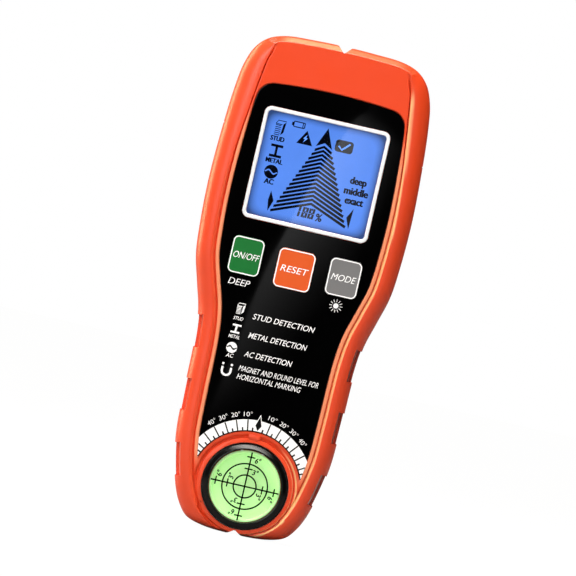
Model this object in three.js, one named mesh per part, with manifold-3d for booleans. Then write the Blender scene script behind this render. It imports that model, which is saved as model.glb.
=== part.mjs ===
// Handheld stud finder, as an assembly of separate pieces, in millimetres.
//
// The pieces are modelled lying on their back: x to the right, y towards the head, z out of the front face,
// with z = 0 on the rear glide pads and y = 0 at half the length. The exported group stands the tool upright:
// +Z towards the head, front face towards -Y, origin at the middle of the underside of its bounding box.

import * as THREE from 'three';
import { mergeVertices } from 'three/addons/utils/BufferGeometryUtils.js';
import Module from 'manifold-3d';

const wasm = await Module();
wasm.setup();

// ---------------------------------------------------------------- driving dimensions

const LENGTH = 180;
const TOP = LENGTH / 2;
const GAP = 0.3;                 // clearance between neighbouring pieces
const WALL = 2.2;                // side wall of the shells
const FLOOR = 2.0;               // back wall of the rear shell

// levels above the glide pads
const BACK = 0.8;                // outer face of the rear shell
const PART_LINE = 14;            // rear shell below, front shell above
const CEILING = 26.4;            // inner face of the front shell
const PLATEAU = 29.4;            // raised middle of the front shell
const PANEL_SEAT = 28.0;         // floor of the panel's pocket
const PANEL_TOP = 29.3;
const KEY_TOP = 30.1;
const BEZEL_TOP = 31.2;          // the highest point of the tool
const BOARD = [19.6, 21.2];      // main board, underside and top

// half the width of the tool at a distance from its top edge, from the head to the tail
const HALF_WIDTHS = [
  [1.0, 21.6], [3.1, 27.6], [7.1, 31.7], [13.5, 34.3], [23.3, 35.8], [42.6, 37.1], [57.5, 37.5],
  [72.9, 37.0], [84.5, 35.9], [94.5, 33.2], [103.5, 30.7], [112.5, 29.6], [134, 29.1], [148.5, 28.5],
  [159.3, 26.6], [168.3, 24.1], [173.7, 21.4], [177.3, 18.2], [179.3, 12.0],
];
const CORNER_ARCH = 0.5;         // the top edge is arched: extra rise between its corners and its middle
const STEPS_PER_KNOT = 2;        // outline facets between two half widths
const BUMPER_WIDTH = 7.4;        // rounded edge of the front shell, from the side to the plateau
const ROUND = 36;                // facets round the dial and other large rounds
const SMALL_ROUND = 12;          // facets round screws, bosses and plungers

const NOTCH = { width: 4.7, topDepth: 2.4, tailDepth: 1.2 };
const SIDE_NOTCH = { y: 54, width: 1.6, depth: 0.5 };
const GRIP = { first: -21.5, pitch: 23.3, length: 12.8, depth: 0.6, from: 6, to: 23 };

const DIAL = { y: -72.1, hole: 15.8, relief: 16.6, collar: 17.2, groove: 18.6, panel: 19.9 };
const BEZEL = { outer: 15.5, root: 15.1, inner: 13.15, teeth: 44 };
const PANEL = {
  inset: 8.7, middle: 72.4, arch: 150, corner: 6.1, cornerX: 21, cornerY: 65.2, tipX: 18.8, tipY: -65.6,
};
const VIAL = { wall: 0.8, low: 24, floor: 27, lensTop: 30.5 };
const BUBBLE = { radius: 2.4, flatness: 0.35, level: 28.2 };
const RETAINER = { inner: 13.3, levels: [23.8, 24.7] };
const WASHER = { clearance: 0.2, levels: [25.1, 26.1] };

const DISPLAY = { y: 42.8, frame: [46.2, 41], view: [43.6, 38.3], corner: 2.6 };
const KEYS = [
  { name: 'power', x: -18, y: 8.64, size: [11.5, 13.5], color: 0x1f8a3c },
  { name: 'reset', x: 0, y: 7.6, size: [13.4, 14.3], color: 0xf26322 },
  { name: 'mode', x: 17.9, y: 8.64, size: [11.6, 13.5], color: 0x8d8f92 },
];
const KEY = { corner: 2, flange: 0.8 };
const SWITCH = { size: 6, top: 24.6, well: 2, wellFloor: 23 };
const PLUNGER = { radius: 1.7, levels: [23.9, 25.1] };

// the display's stack between the window and the main board
const WINDOW = { clearance: 0.1, levels: [26.9, 28] };
const GLASS = { size: [46.6, 44], low: 24.9 };
const HOLDER = { outer: [51.4, 47.6], inner: [47.4, 44.8], corner: 1.5, top: 24.6 };
const LIGHT_GUIDE = { y: 44.8, size: [46.6, 38.8], low: 22.6 };
const ZEBRA = { y: 22.6, size: [42, 2] };

const BATTERY = { width: 26.5, thick: 17.5, bottom: -57.5, body: 46, terminal: 2.5, back: 3.2 };
const BAY = { halfWidth: 14, bottom: -58.3, top: -2.7, roof: 21, wall: 1.4 };
const DOOR = { halfWidth: 15, bottom: -60, hinge: -1.5, thick: 1.7 };
const HOOK = { x: 8.5, width: 4.4, thick: 0.9, reach: 2.9, top: 4.3 };
const RIB = { count: 4, pitch: 2, width: 12, thick: 0.9, height: 0.4 };
const LEAD = { x: 2.4, radius: 0.65 };

const CASE_SCREWS = [[-26.5, 74], [26.5, 74], [-20.5, -57], [20.5, -57]];
const BOARD_SCREWS = [[-28, 14], [28, 14]];
const SCREW = { shank: 1.25, head: 2.6, boss: 3.4, headLevels: [2.6, 4.3], tip: 23, slot: [3.4, 0.7, 0.9] };
const BOARD_SCREW = { shank: 1, head: 2.1, headHeight: 1.5, tip: 24.5, slot: [2.6, 0.6, 0.7] };
const POSTS = [[-28, 19.3], [28, 19.3], [-28, 64.6], [28, 64.6]];   // hold the sensor board

// electronics
const MAIN_BOARD = { y: 34.5, size: [62, 70], corner: 2 };
const CHIP = { x: 8, y: 44, size: 12, low: 17.8 };
const BUZZER = { x: -17, y: 30, radius: 6, low: 14.6, hole: 1 };
const CAPACITOR = { x: 19, y: 12, radius: 3.2, low: 10.5 };
const CRYSTAL = { x: -6, y: 46, size: [4.6, 10.5], corner: 2.2, low: 16.4 };
const SENSOR_BOARD = { y: 42, size: [62, 50], corner: 2, levels: [4.2, 5.8] };
const SENSOR_PLATE = { pitch: 20, size: [17, 40], corner: 1, levels: [3.1, 3.9] };
const COIL = { y: 38, inner: 7.6, outer: 11.8, levels: [7.4, 10.9] };
const BOBBIN = { hole: 5, core: 7.2, flange: 12.5, levels: [6.1, 7.1, 11.2, 12.2] };
const CABLE = { x: 14, width: 9, thick: 0.5, near: 61, far: 66, low: 6.2 };
const MAGNET = { y: 77, radius: 5, levels: [3.1, 6.1] };

// ---------------------------------------------------------------- solids

function solidFrom(positions, faces) {
  return new wasm.Manifold(new wasm.Mesh({
    numProp: 3,
    vertProperties: new Float32Array(positions),
    triVerts: new Uint32Array(faces),
  }));
}

function toSolid(geometry) {
  const bare = geometry.clone();
  bare.deleteAttribute('normal');
  bare.deleteAttribute('uv');
  const merged = mergeVertices(bare, 1e-4);
  return solidFrom(merged.attributes.position.array, merged.index.array);
}

function toGeometry(solid) {
  const mesh = solid.getMesh();
  const geometry = new THREE.BufferGeometry();
  geometry.setAttribute('position', new THREE.BufferAttribute(mesh.vertProperties, 3));
  geometry.setIndex(new THREE.BufferAttribute(mesh.triVerts, 1));
  geometry.computeVertexNormals();
  return geometry;
}

function slab(shape, low, high, curveSegments = 6) {
  const options = { depth: high - low, bevelEnabled: false, curveSegments };
  return toSolid(new THREE.ExtrudeGeometry(shape, options).translate(0, 0, low));
}

function block(x, y, width, height, low, high) {
  return toSolid(new THREE.BoxGeometry(width, height, high - low).translate(x, y, (low + high) / 2));
}

function roundedBlock(x, y, width, height, corner, low, high) {
  return slab(roundedRectangle(x, y, width, height, corner), low, high, 3);
}

function disc(x, y, radius, low, high, segments = SMALL_ROUND) {
  const geometry = new THREE.CylinderGeometry(radius, radius, high - low, segments);
  return toSolid(geometry.rotateX(Math.PI / 2).translate(x, y, (low + high) / 2));
}

function ring(x, y, inner, outer, low, high, segments = ROUND) {
  return disc(x, y, outer, low, high, segments).subtract(disc(x, y, inner, low - 1, high + 1, segments));
}

function union(solids) {
  return solids.reduce((whole, solid) => whole.add(solid));
}

function cut(solid, tools) {
  return tools.reduce((rest, tool) => rest.subtract(tool), solid);
}

function roundedRectangle(x, y, width, height, corner) {
  const [left, right] = [x - width / 2, x + width / 2];
  const [low, high] = [y - height / 2, y + height / 2];
  const shape = new THREE.Shape();
  shape.absarc(right - corner, high - corner, corner, 0, Math.PI / 2);
  shape.absarc(left + corner, high - corner, corner, Math.PI / 2, Math.PI);
  shape.absarc(left + corner, low + corner, corner, Math.PI, 1.5 * Math.PI);
  shape.absarc(right - corner, low + corner, corner, 1.5 * Math.PI, 2 * Math.PI);
  return shape;
}

// ---------------------------------------------------------------- the tool's outline

const OUTLINE = makeOutline();

// points round the tool, clockwise seen from the front, each with its outward normal
function makeOutline() {
  const right = HALF_WIDTHS.map(([down, half]) => new THREE.Vector3(half, TOP - down, 0));
  const left = right.map((point) => new THREE.Vector3(-point.x, point.y, 0)).reverse();
  const middleTop = new THREE.Vector3(0, right[0].y + 1, 0);
  const middleTail = new THREE.Vector3(0, -TOP, 0);
  const quarterTop = [-1, 1].map((side) => new THREE.Vector3(side * 11, middleTop.y - CORNER_ARCH / 2, 0));
  const knots = [middleTop, quarterTop[1], ...right, middleTail, ...left, quarterTop[0]];
  const curve = new THREE.CatmullRomCurve3(knots, true, 'centripetal');
  const count = knots.length * STEPS_PER_KNOT;
  return Array.from({ length: count }, (_, index) => {
    const point = curve.getPoint(index / count);
    const along = curve.getTangent(index / count);
    return { x: point.x, y: point.y, nx: -along.y, ny: along.x };
  });
}

// the normal returned by makeOutline points outwards on a clockwise outline
function insetPoint(point, inset) {
  return new THREE.Vector2(point.x - point.nx * inset, point.y - point.ny * inset);
}

// how much room the bumper has between the edge and the dial, 1 for its full width
function bumperRoom(point) {
  const toDial = Math.hypot(point.x, point.y - DIAL.y);
  return THREE.MathUtils.clamp((toDial - DIAL.collar + 0.3) / BUMPER_WIDTH, 0.28, 1);
}

// 1 along the sides, 0 on the top edge, where the plateau ends in a plain chamfer
function bumperShare(point) {
  return 1 - THREE.MathUtils.smoothstep(point.ny, 0.6, 0.92);
}

// sections across the edge as [inset, level]: first along the sides, then on the top edge
const FRONT_SECTION = [
  [[0, PART_LINE + 0.2], [0, PART_LINE + 0.2]],
  [[0, 21.5], [0, 24.0]],
  [[0.5, 24.8], [0.2, 26.4]],
  [[1.7, 27.2], [0.9, 27.6]],
  [[3.5, 28.7], [1.6, 28.5]],
  [[5.7, 29.2], [2.3, PLATEAU]],
  [[6.6, 28.3], [3.4, PLATEAU]],
  [[BUMPER_WIDTH, PLATEAU], [4.5, PLATEAU]],
];
const REAR_SECTION = [[0, PART_LINE], [0, 7], [0.8, 3.6], [2.4, 1.6], [4.4, BACK]];
const CAVITY_FRONT = [[WALL, PART_LINE - 1], [WALL, 23.6], [4.3, CEILING]];
const CAVITY_REAR = [[WALL, PART_LINE + 1], [WALL, 7], [3.2, 4.2], [4.8, BACK + FLOOR]];

// closed solid through rings of points that all have one length, capped at both ends
function loft(rings) {
  const count = rings[0].length;
  const positions = rings.flat().flatMap((point) => [point.x, point.y, point.z]);
  const faces = [];
  for (let layer = 0; layer + 1 < rings.length; layer += 1) {
    for (let index = 0; index < count; index += 1) {
      const next = (index + 1) % count;
      const [a, b] = [layer * count + index, layer * count + next];
      faces.push(a, a + count, b, b, a + count, b + count);
    }
  }
  const caps = [[0, false], [rings.length - 1, true]];
  for (const [layer, flip] of caps) {
    const flat = rings[layer].map((point) => new THREE.Vector2(point.x, point.y));
    for (const [a, b, c] of THREE.ShapeUtils.triangulateShape(flat, [])) {
      const corners = [a, b, c].map((corner) => corner + layer * count);
      faces.push(...(flip ? corners : corners.reverse()));
    }
  }
  const solid = solidFrom(positions, faces);
  // rings given from the top down make a solid that is inside out
  return solid.volume() > 0 ? solid : solidFrom(positions, faces.reverse());
}

function sectionRing(pick) {
  return OUTLINE.map((point) => {
    const [inset, level] = pick(point);
    const flat = insetPoint(point, inset);
    return new THREE.Vector3(flat.x, flat.y, level);
  });
}

function frontOuter() {
  return loft(FRONT_SECTION.map(([side, head]) => sectionRing((point) => {
    const share = bumperShare(point);
    const inset = THREE.MathUtils.lerp(head[0], side[0], share) * bumperRoom(point);
    return [inset, THREE.MathUtils.lerp(head[1], side[1], share)];
  })));
}

function plainLoft(section) {
  return loft(section.map((step) => sectionRing(() => step)));
}

function outlineAt(y, side) {
  const half = OUTLINE.filter((point) => point.x * side > 5);
  return half.reduce((best, point) => (Math.abs(point.y - y) < Math.abs(best.y - y) ? point : best));
}

// V notches in the middle of the top and tail edges, which mark the centre line on the wall
function edgeNotches() {
  const notch = (edge, depth) => {
    const shape = new THREE.Shape();
    const out = Math.sign(edge);
    shape.moveTo(-NOTCH.width / 2 - 0.5, edge + out * 0.6);
    shape.lineTo(NOTCH.width / 2 + 0.5, edge + out * 0.6);
    shape.lineTo(0, edge - out * depth);
    return slab(shape, -1, BEZEL_TOP + 1);
  };
  return [notch(TOP, NOTCH.topDepth), notch(-TOP, NOTCH.tailDepth)];
}

function sideNotches() {
  return [-1, 1].map((side) => {
    const edge = outlineAt(SIDE_NOTCH.y, side);
    const bar = new THREE.BoxGeometry(2 * SIDE_NOTCH.depth, SIDE_NOTCH.width, 40);
    return toSolid(bar.translate(edge.x, SIDE_NOTCH.y, PART_LINE));
  });
}

// shallow finger recesses down both sides, each turned to follow the edge
function gripRecesses() {
  const recesses = [];
  for (let row = 0; row < 3; row += 1) {
    for (const side of [-1, 1]) {
      const edge = outlineAt(GRIP.first - row * GRIP.pitch, side);
      const bar = new THREE.BoxGeometry(2 * GRIP.depth, GRIP.length, GRIP.to - GRIP.from);
      bar.rotateZ(Math.atan2(edge.ny * side, edge.nx * side));
      bar.translate(edge.x, edge.y, (GRIP.from + GRIP.to) / 2);
      recesses.push(toSolid(bar));
    }
  }
  return recesses;
}

// ---------------------------------------------------------------- shells

function panelShape(grow) {
  const sides = OUTLINE.map((point) => insetPoint(point, PANEL.inset - grow));
  const tip = { x: PANEL.tipX + grow, y: PANEL.tipY - 3 * grow };
  const right = sides.filter((point) => point.x > 0 && point.y < PANEL.cornerY - 1 && point.y > tip.y);
  const radius = DIAL.panel - grow;
  const tipAngle = Math.atan2(tip.y - DIAL.y, tip.x);
  const corner = PANEL.corner + grow;
  const shoulder = Math.asin(PANEL.cornerX / PANEL.arch);
  const shape = new THREE.Shape();
  shape.absarc(0, DIAL.y, radius, Math.PI - tipAngle, tipAngle, true);
  right.reverse().forEach((point) => shape.lineTo(point.x, point.y));
  shape.absarc(PANEL.cornerX, PANEL.cornerY, corner, 0, Math.PI / 2 - shoulder);
  shape.lineTo(0, PANEL.middle + grow);
  shape.absarc(-PANEL.cornerX, PANEL.cornerY, corner, Math.PI / 2 + shoulder, Math.PI);
  right.reverse().forEach((point) => shape.lineTo(-point.x, point.y));
  return shape;
}

function keyHoles(clearance) {
  return KEYS.map(({ x, y, size }) => roundedBlock(
    x, y, size[0] + 2 * clearance, size[1] + 2 * clearance, KEY.corner + clearance, CEILING - 1, PLATEAU + 1,
  ));
}

// small raised arrow that bridges the groove round the dial, above the bezel
function dialArrow() {
  const shape = new THREE.Shape();
  const middle = DIAL.y + (DIAL.collar + DIAL.groove) / 2;
  shape.moveTo(-2.2, middle - 1.1);
  shape.lineTo(0.4, middle - 1.1);
  shape.lineTo(2.4, middle);
  shape.lineTo(0.4, middle + 1.1);
  shape.lineTo(-2.2, middle + 1.1);
  return slab(shape, CEILING, PLATEAU);
}

function frontShell() {
  const outer = frontOuter();
  const collar = disc(0, DIAL.y, DIAL.collar, CEILING, PLATEAU, ROUND);
  const groove = ring(0, DIAL.y, DIAL.collar, DIAL.groove, PLATEAU - 1.2, PLATEAU + 1);
  const notchBacking = block(0, TOP - 3, 9, 4.4, PART_LINE + 0.2, CEILING + 0.5);
  const caseBosses = CASE_SCREWS.map(([x, y]) => disc(x, y, SCREW.boss, PART_LINE + 1.5, CEILING + 0.5));
  const boardBosses = BOARD_SCREWS.map(([x, y]) => disc(x, y, 2.3, BOARD[1] + GAP, CEILING + 0.5));
  const pilots = [
    ...CASE_SCREWS.map(([x, y]) => disc(x, y, SCREW.shank + GAP, PART_LINE, 24, 12)),
    ...BOARD_SCREWS.map(([x, y]) => disc(x, y, BOARD_SCREW.shank + GAP, BOARD[1], 25, 12)),
  ];
  const [viewWidth, viewHeight] = DISPLAY.view;
  const openings = [
    disc(0, DIAL.y, DIAL.hole, PART_LINE, BEZEL_TOP, ROUND),
    disc(0, DIAL.y, DIAL.relief, 23.4, CEILING, ROUND),
    slab(panelShape(0.25), PANEL_SEAT, PLATEAU + 1),
    block(0, DISPLAY.y, viewWidth + 0.4, viewHeight + 0.4, CEILING - 1, PLATEAU),
    ...keyHoles(GAP),
    ...edgeNotches(),
    ...sideNotches(),
    ...gripRecesses(),
  ];
  const body = union([
    outer.subtract(plainLoft(CAVITY_FRONT)),
    ...[notchBacking, ...caseBosses, ...boardBosses].map((boss) => boss.intersect(outer)),
    collar,
  ]).subtract(groove).add(dialArrow());
  return cut(body, [...pilots, ...openings]);
}

// the bay is a box round the battery that opens at the back, under the door
function batteryBay() {
  const height = BAY.top - BAY.bottom + 2 * BAY.wall;
  const middle = (BAY.top + BAY.bottom) / 2;
  const width = 2 * (BAY.halfWidth + BAY.wall);
  return block(0, middle, width, height, BACK + FLOOR - 0.5, BAY.roof + BAY.wall);
}

function bayOpenings() {
  const middle = (BAY.top + BAY.bottom) / 2;
  const doorTop = DOOR.hinge + DOOR.thick / 2 + GAP;
  const doorBottom = DOOR.bottom - GAP;
  const doorWidth = 2 * (DOOR.halfWidth + GAP);
  const floor = BACK + FLOOR;
  return [
    block(0, middle, 2 * BAY.halfWidth, BAY.top - BAY.bottom, 0, BAY.roof),
    block(0, (doorTop + doorBottom) / 2, doorWidth, doorTop - doorBottom, 0, floor),
    ...[-HOOK.x, HOOK.x].map((x) => block(x, BAY.top + 1, HOOK.width + 1, 4, floor, floor + 4)),
    block(0, BAY.top + 1, 9, 4, 11, 15),
  ];
}

const PADS = [
  { name: 'glide_pad_upper_left', x: -26.5, y: 38, length: 44 },
  { name: 'glide_pad_upper_right', x: 26.5, y: 38, length: 44 },
  { name: 'glide_pad_lower_left', x: -20.5, y: -32, length: 34 },
  { name: 'glide_pad_lower_right', x: 20.5, y: -32, length: 34 },
];
const PAD = { width: 4.4, depth: 0.6 };

function rearShell() {
  const bosses = CASE_SCREWS.map(([x, y]) => disc(x, y, SCREW.boss + 0.8, BACK, PART_LINE + 1));
  const posts = POSTS.map(([x, y]) => disc(x, y, 1.8, BACK + 1, SENSOR_BOARD.levels[0] - GAP));
  const notchBacking = block(0, TOP - 3, 9, 4.4, BACK + 1, PART_LINE);
  const outer = plainLoft(REAR_SECTION);
  const body = union([
    outer.subtract(plainLoft(CAVITY_REAR)),
    ...[notchBacking, ...posts].map((post) => post.intersect(outer)),
    ...bosses,
    batteryBay(),
  ]);
  return cut(body, [
    ...bayOpenings(),
    ...CASE_SCREWS.map(([x, y]) => disc(x, y, SCREW.head + GAP, -1, 4.6, 20)),
    ...CASE_SCREWS.map(([x, y]) => disc(x, y, SCREW.shank + GAP, 0, PART_LINE + 2)),
    ...PADS.map(({ x, y, length }) => roundedBlock(
      x, y, PAD.width + 2 * GAP, length + 2 * GAP, 2.2 + GAP, -1, BACK + PAD.depth,
    )),
    ...edgeNotches(),
    ...sideNotches(),
    ...gripRecesses(),
  ]);
}

function frontPanel() {
  const [frameWidth, frameHeight] = DISPLAY.frame;
  const plate = slab(panelShape(0), PANEL_SEAT + GAP, PANEL_TOP);
  const frameHole = roundedBlock(
    0, DISPLAY.y, frameWidth + 0.4, frameHeight + 0.4, DISPLAY.corner + 0.2, CEILING, PLATEAU + 1,
  );
  return cut(plate, [frameHole, ...keyHoles(0.25)]);
}

// ---------------------------------------------------------------- display

function displayFrame() {
  const [frameWidth, frameHeight] = DISPLAY.frame;
  const [viewWidth, viewHeight] = DISPLAY.view;
  const low = PANEL_SEAT + GAP;
  const outer = roundedBlock(0, DISPLAY.y, frameWidth, frameHeight, DISPLAY.corner, low, PLATEAU);
  return outer.subtract(roundedBlock(0, DISPLAY.y, viewWidth, viewHeight, 1.2, CEILING, PLATEAU + 1));
}

function displayWindow() {
  const [width, height] = DISPLAY.view.map((size) => size - 2 * WINDOW.clearance);
  return block(0, DISPLAY.y, width, height, ...WINDOW.levels);
}

function lcdGlass() {
  return block(0, DISPLAY.y, ...GLASS.size, GLASS.low, CEILING - GAP);
}

function lightGuide() {
  return block(0, LIGHT_GUIDE.y, ...LIGHT_GUIDE.size, LIGHT_GUIDE.low, HOLDER.top);
}

// rubber contact strip between the glass and the board
function zebraStrip() {
  return block(0, ZEBRA.y, ...ZEBRA.size, BOARD[1] + GAP, HOLDER.top);
}

function displayHolder() {
  const outer = roundedBlock(0, DISPLAY.y, ...HOLDER.outer, HOLDER.corner, BOARD[1] + GAP, HOLDER.top);
  return outer.subtract(block(0, DISPLAY.y, ...HOLDER.inner, BOARD[1], HOLDER.top + 1));
}

// ---------------------------------------------------------------- keys and switches

function keyCap({ x, y, size }) {
  const flange = KEY.flange * 2;
  return union([
    roundedBlock(x, y, size[0], size[1], KEY.corner, CEILING - 1, KEY_TOP),
    roundedBlock(x, y, size[0] + flange, size[1] + flange, KEY.corner, CEILING - 1, CEILING - GAP),
  ]);
}

function switchBase({ x, y }) {
  const base = block(x, y, SWITCH.size, SWITCH.size, BOARD[1] + GAP, SWITCH.top);
  return base.subtract(disc(x, y, SWITCH.well, SWITCH.wellFloor, SWITCH.top + 1));
}

function switchPlunger({ x, y }) {
  return disc(x, y, PLUNGER.radius, ...PLUNGER.levels);
}

// ---------------------------------------------------------------- the round level and its dial

function dialBezel() {
  const shape = new THREE.Shape();
  for (let corner = 0; corner < 2 * BEZEL.teeth; corner += 1) {
    const radius = corner % 2 ? BEZEL.outer : BEZEL.root;
    const angle = (corner / BEZEL.teeth) * Math.PI;
    const [x, y] = [radius * Math.cos(angle), DIAL.y + radius * Math.sin(angle)];
    if (corner === 0) shape.moveTo(x, y);
    else shape.lineTo(x, y);
  }
  const knurl = slab(shape, PLATEAU + GAP, BEZEL_TOP);
  const sleeve = disc(0, DIAL.y, BEZEL.outer, 25, PLATEAU + GAP, ROUND);
  return knurl.add(sleeve).subtract(disc(0, DIAL.y, BEZEL.inner, 24, BEZEL_TOP + 1, ROUND));
}

function vialCup() {
  const outer = BEZEL.inner - GAP;
  const hollow = disc(0, DIAL.y, outer - VIAL.wall, VIAL.floor, PLATEAU + 1, ROUND);
  return disc(0, DIAL.y, outer, VIAL.low, PLATEAU, ROUND).subtract(hollow);
}

function levelLens() {
  return disc(0, DIAL.y, BEZEL.inner - GAP, PLATEAU + GAP, VIAL.lensTop, ROUND);
}

function bubble() {
  const ball = new THREE.SphereGeometry(BUBBLE.radius, 14, 8).scale(1, 1, BUBBLE.flatness);
  return toSolid(ball.translate(0, DIAL.y, BUBBLE.level));
}

function dialRetainer() {
  return ring(0, DIAL.y, RETAINER.inner, DIAL.relief - GAP, ...RETAINER.levels);
}

function waveWasher() {
  return ring(0, DIAL.y, BEZEL.outer + WASHER.clearance, DIAL.relief - WASHER.clearance, ...WASHER.levels);
}

// ---------------------------------------------------------------- electronics

function mainBoard() {
  const board = roundedBlock(0, MAIN_BOARD.y, ...MAIN_BOARD.size, MAIN_BOARD.corner, ...BOARD);
  const holes = BOARD_SCREWS.map(([x, y]) => disc(x, y, BOARD_SCREW.shank + GAP, BOARD[0] - 1, BOARD[1] + 1));
  return cut(board, holes);
}

// what is soldered under the main board hangs from its underside
const UNDERSIDE = BOARD[0] - GAP;

function controllerChip() {
  return block(CHIP.x, CHIP.y, CHIP.size, CHIP.size, CHIP.low, UNDERSIDE);
}

function buzzer() {
  const { x, y, radius, low, hole } = BUZZER;
  return disc(x, y, radius, low, UNDERSIDE).subtract(disc(x, y, hole, low - 1, low + 1.4));
}

function powerCapacitor() {
  return disc(CAPACITOR.x, CAPACITOR.y, CAPACITOR.radius, CAPACITOR.low, UNDERSIDE, 20);
}

function crystal() {
  return roundedBlock(CRYSTAL.x, CRYSTAL.y, ...CRYSTAL.size, CRYSTAL.corner, CRYSTAL.low, UNDERSIDE);
}

function boardScrew([x, y]) {
  const low = UNDERSIDE - BOARD_SCREW.headHeight;
  const [length, width, depth] = BOARD_SCREW.slot;
  const head = disc(x, y, BOARD_SCREW.head, low, UNDERSIDE, 20);
  const shank = disc(x, y, BOARD_SCREW.shank, UNDERSIDE - 0.5, BOARD_SCREW.tip);
  return head.add(shank).subtract(block(x, y, length, width, low - 1, low + depth));
}

function caseScrew([x, y]) {
  const [low, high] = SCREW.headLevels;
  const [length, width, depth] = SCREW.slot;
  const head = disc(x, y, SCREW.head, low, high, 20);
  const shank = disc(x, y, SCREW.shank, high - 0.3, SCREW.tip);
  return cut(head.add(shank), [
    block(x, y, length, width, low - 1, low + depth),
    block(x, y, width, length, low - 1, low + depth),
  ]);
}

function sensorBoard() {
  return roundedBlock(0, SENSOR_BOARD.y, ...SENSOR_BOARD.size, SENSOR_BOARD.corner, ...SENSOR_BOARD.levels);
}

function sensorPlate(column) {
  const x = column * SENSOR_PLATE.pitch;
  return roundedBlock(x, SENSOR_BOARD.y, ...SENSOR_PLATE.size, SENSOR_PLATE.corner, ...SENSOR_PLATE.levels);
}

function searchCoil() {
  return ring(0, COIL.y, COIL.inner, COIL.outer, ...COIL.levels, 24);
}

function coilBobbin() {
  const [low, lowTop, highBottom, high] = BOBBIN.levels;
  return union([
    ring(0, COIL.y, BOBBIN.hole, BOBBIN.core, low, high, 24),
    ring(0, COIL.y, BOBBIN.hole, BOBBIN.flange, low, lowTop, 24),
    ring(0, COIL.y, BOBBIN.hole, BOBBIN.flange, highBottom, high, 24),
  ]);
}

// flat cable in an S from the sensor board up to the main board
function ribbonCable() {
  const { x, width, thick, near, far, low } = CABLE;
  const bend = (low + UNDERSIDE) / 2;
  const shape = new THREE.Shape();
  shape.moveTo(far, low);
  shape.bezierCurveTo(far, bend - thick, near, bend - thick, near, UNDERSIDE);
  shape.lineTo(near + thick, UNDERSIDE);
  shape.bezierCurveTo(near + thick, bend + thick, far + thick, bend + thick, far + thick, low);
  const geometry = new THREE.ExtrudeGeometry(shape, { depth: width, bevelEnabled: false, curveSegments: 8 });
  geometry.applyMatrix4(new THREE.Matrix4().makeBasis(
    new THREE.Vector3(0, 1, 0), new THREE.Vector3(0, 0, 1), new THREE.Vector3(1, 0, 0),
  ));
  return toSolid(geometry.translate(x, 0, 0));
}

// ---------------------------------------------------------------- battery

function battery() {
  const middle = BATTERY.bottom + BATTERY.body / 2;
  const back = BATTERY.back;
  const terminalY = BATTERY.bottom + BATTERY.body + BATTERY.terminal / 2 - 0.1;
  const centre = back + BATTERY.thick / 2;
  const height = BATTERY.terminal + 0.2;
  const terminal = (x, radius) => toSolid(
    new THREE.CylinderGeometry(radius, radius, height, SMALL_ROUND).translate(x, terminalY, centre),
  );
  const body = roundedEnds(BATTERY.width, BATTERY.thick, BATTERY.body).translate(0, middle, centre);
  return union([toSolid(body), terminal(-6.35, 4), terminal(6.35, 2.9)]);
}

// a can with rounded long edges, its length along y
function roundedEnds(width, thick, length) {
  const shape = roundedRectangle(0, 0, width, thick, 2);
  const geometry = new THREE.ExtrudeGeometry(shape, { depth: length, bevelEnabled: false, curveSegments: 4 });
  return geometry.translate(0, 0, -length / 2).rotateX(Math.PI / 2);
}

function batterySnap() {
  const front = BATTERY.bottom + BATTERY.body + GAP;
  const centre = BATTERY.back + BATTERY.thick / 2;
  const plate = roundedEnds(24, 12, 4.6).translate(0, front + 2.3, centre);
  const socket = (x, radius) => toSolid(
    new THREE.CylinderGeometry(radius, radius, 6, SMALL_ROUND).translate(x, front, centre),
  );
  return cut(toSolid(plate), [socket(-6.35, 4.4), socket(6.35, 3.3)]);
}

function batteryLead(x) {
  const start = BATTERY.bottom + BATTERY.body + GAP + 4.9;
  const path = new THREE.CatmullRomCurve3([
    new THREE.Vector3(x, start, 12), new THREE.Vector3(x, -2, 12.6), new THREE.Vector3(x, 1.5, 13.4),
    new THREE.Vector3(x * 1.6, 4, 16), new THREE.Vector3(x * 2, 5, UNDERSIDE),
  ]);
  const circle = new THREE.Shape().absarc(0, 0, LEAD.radius, 0, 2 * Math.PI);
  const options = { steps: 12, extrudePath: path, curveSegments: 4, bevelEnabled: false };
  return toSolid(new THREE.ExtrudeGeometry(circle, options));
}

// plate with a rounded hinge edge, two hooks that reach under the shell, and finger ribs at the free end
function batteryDoor() {
  const radius = DOOR.thick / 2;
  const length = DOOR.hinge - DOOR.bottom;
  const plate = block(0, DOOR.bottom + length / 2, 2 * DOOR.halfWidth, length, BACK, BACK + DOOR.thick);
  const edge = new THREE.CylinderGeometry(radius, radius, 2 * DOOR.halfWidth, SMALL_ROUND);
  edge.rotateZ(Math.PI / 2).translate(0, DOOR.hinge, BACK + radius);
  const hooks = [-HOOK.x, HOOK.x].flatMap((x) => [
    block(x, DOOR.hinge - 0.4, HOOK.width, HOOK.thick, BACK + 1, HOOK.top),
    block(x, DOOR.hinge + 0.6, HOOK.width, HOOK.reach, BACK + FLOOR + GAP, HOOK.top),
  ]);
  const ribs = Array.from({ length: RIB.count }, (_, row) => block(
    0, DOOR.bottom + 3 + row * RIB.pitch, RIB.width, RIB.thick, BACK - RIB.height, BACK + 0.2,
  ));
  return union([plate, toSolid(edge), ...hooks, ...ribs]);
}

// ---------------------------------------------------------------- materials and assembly

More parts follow.
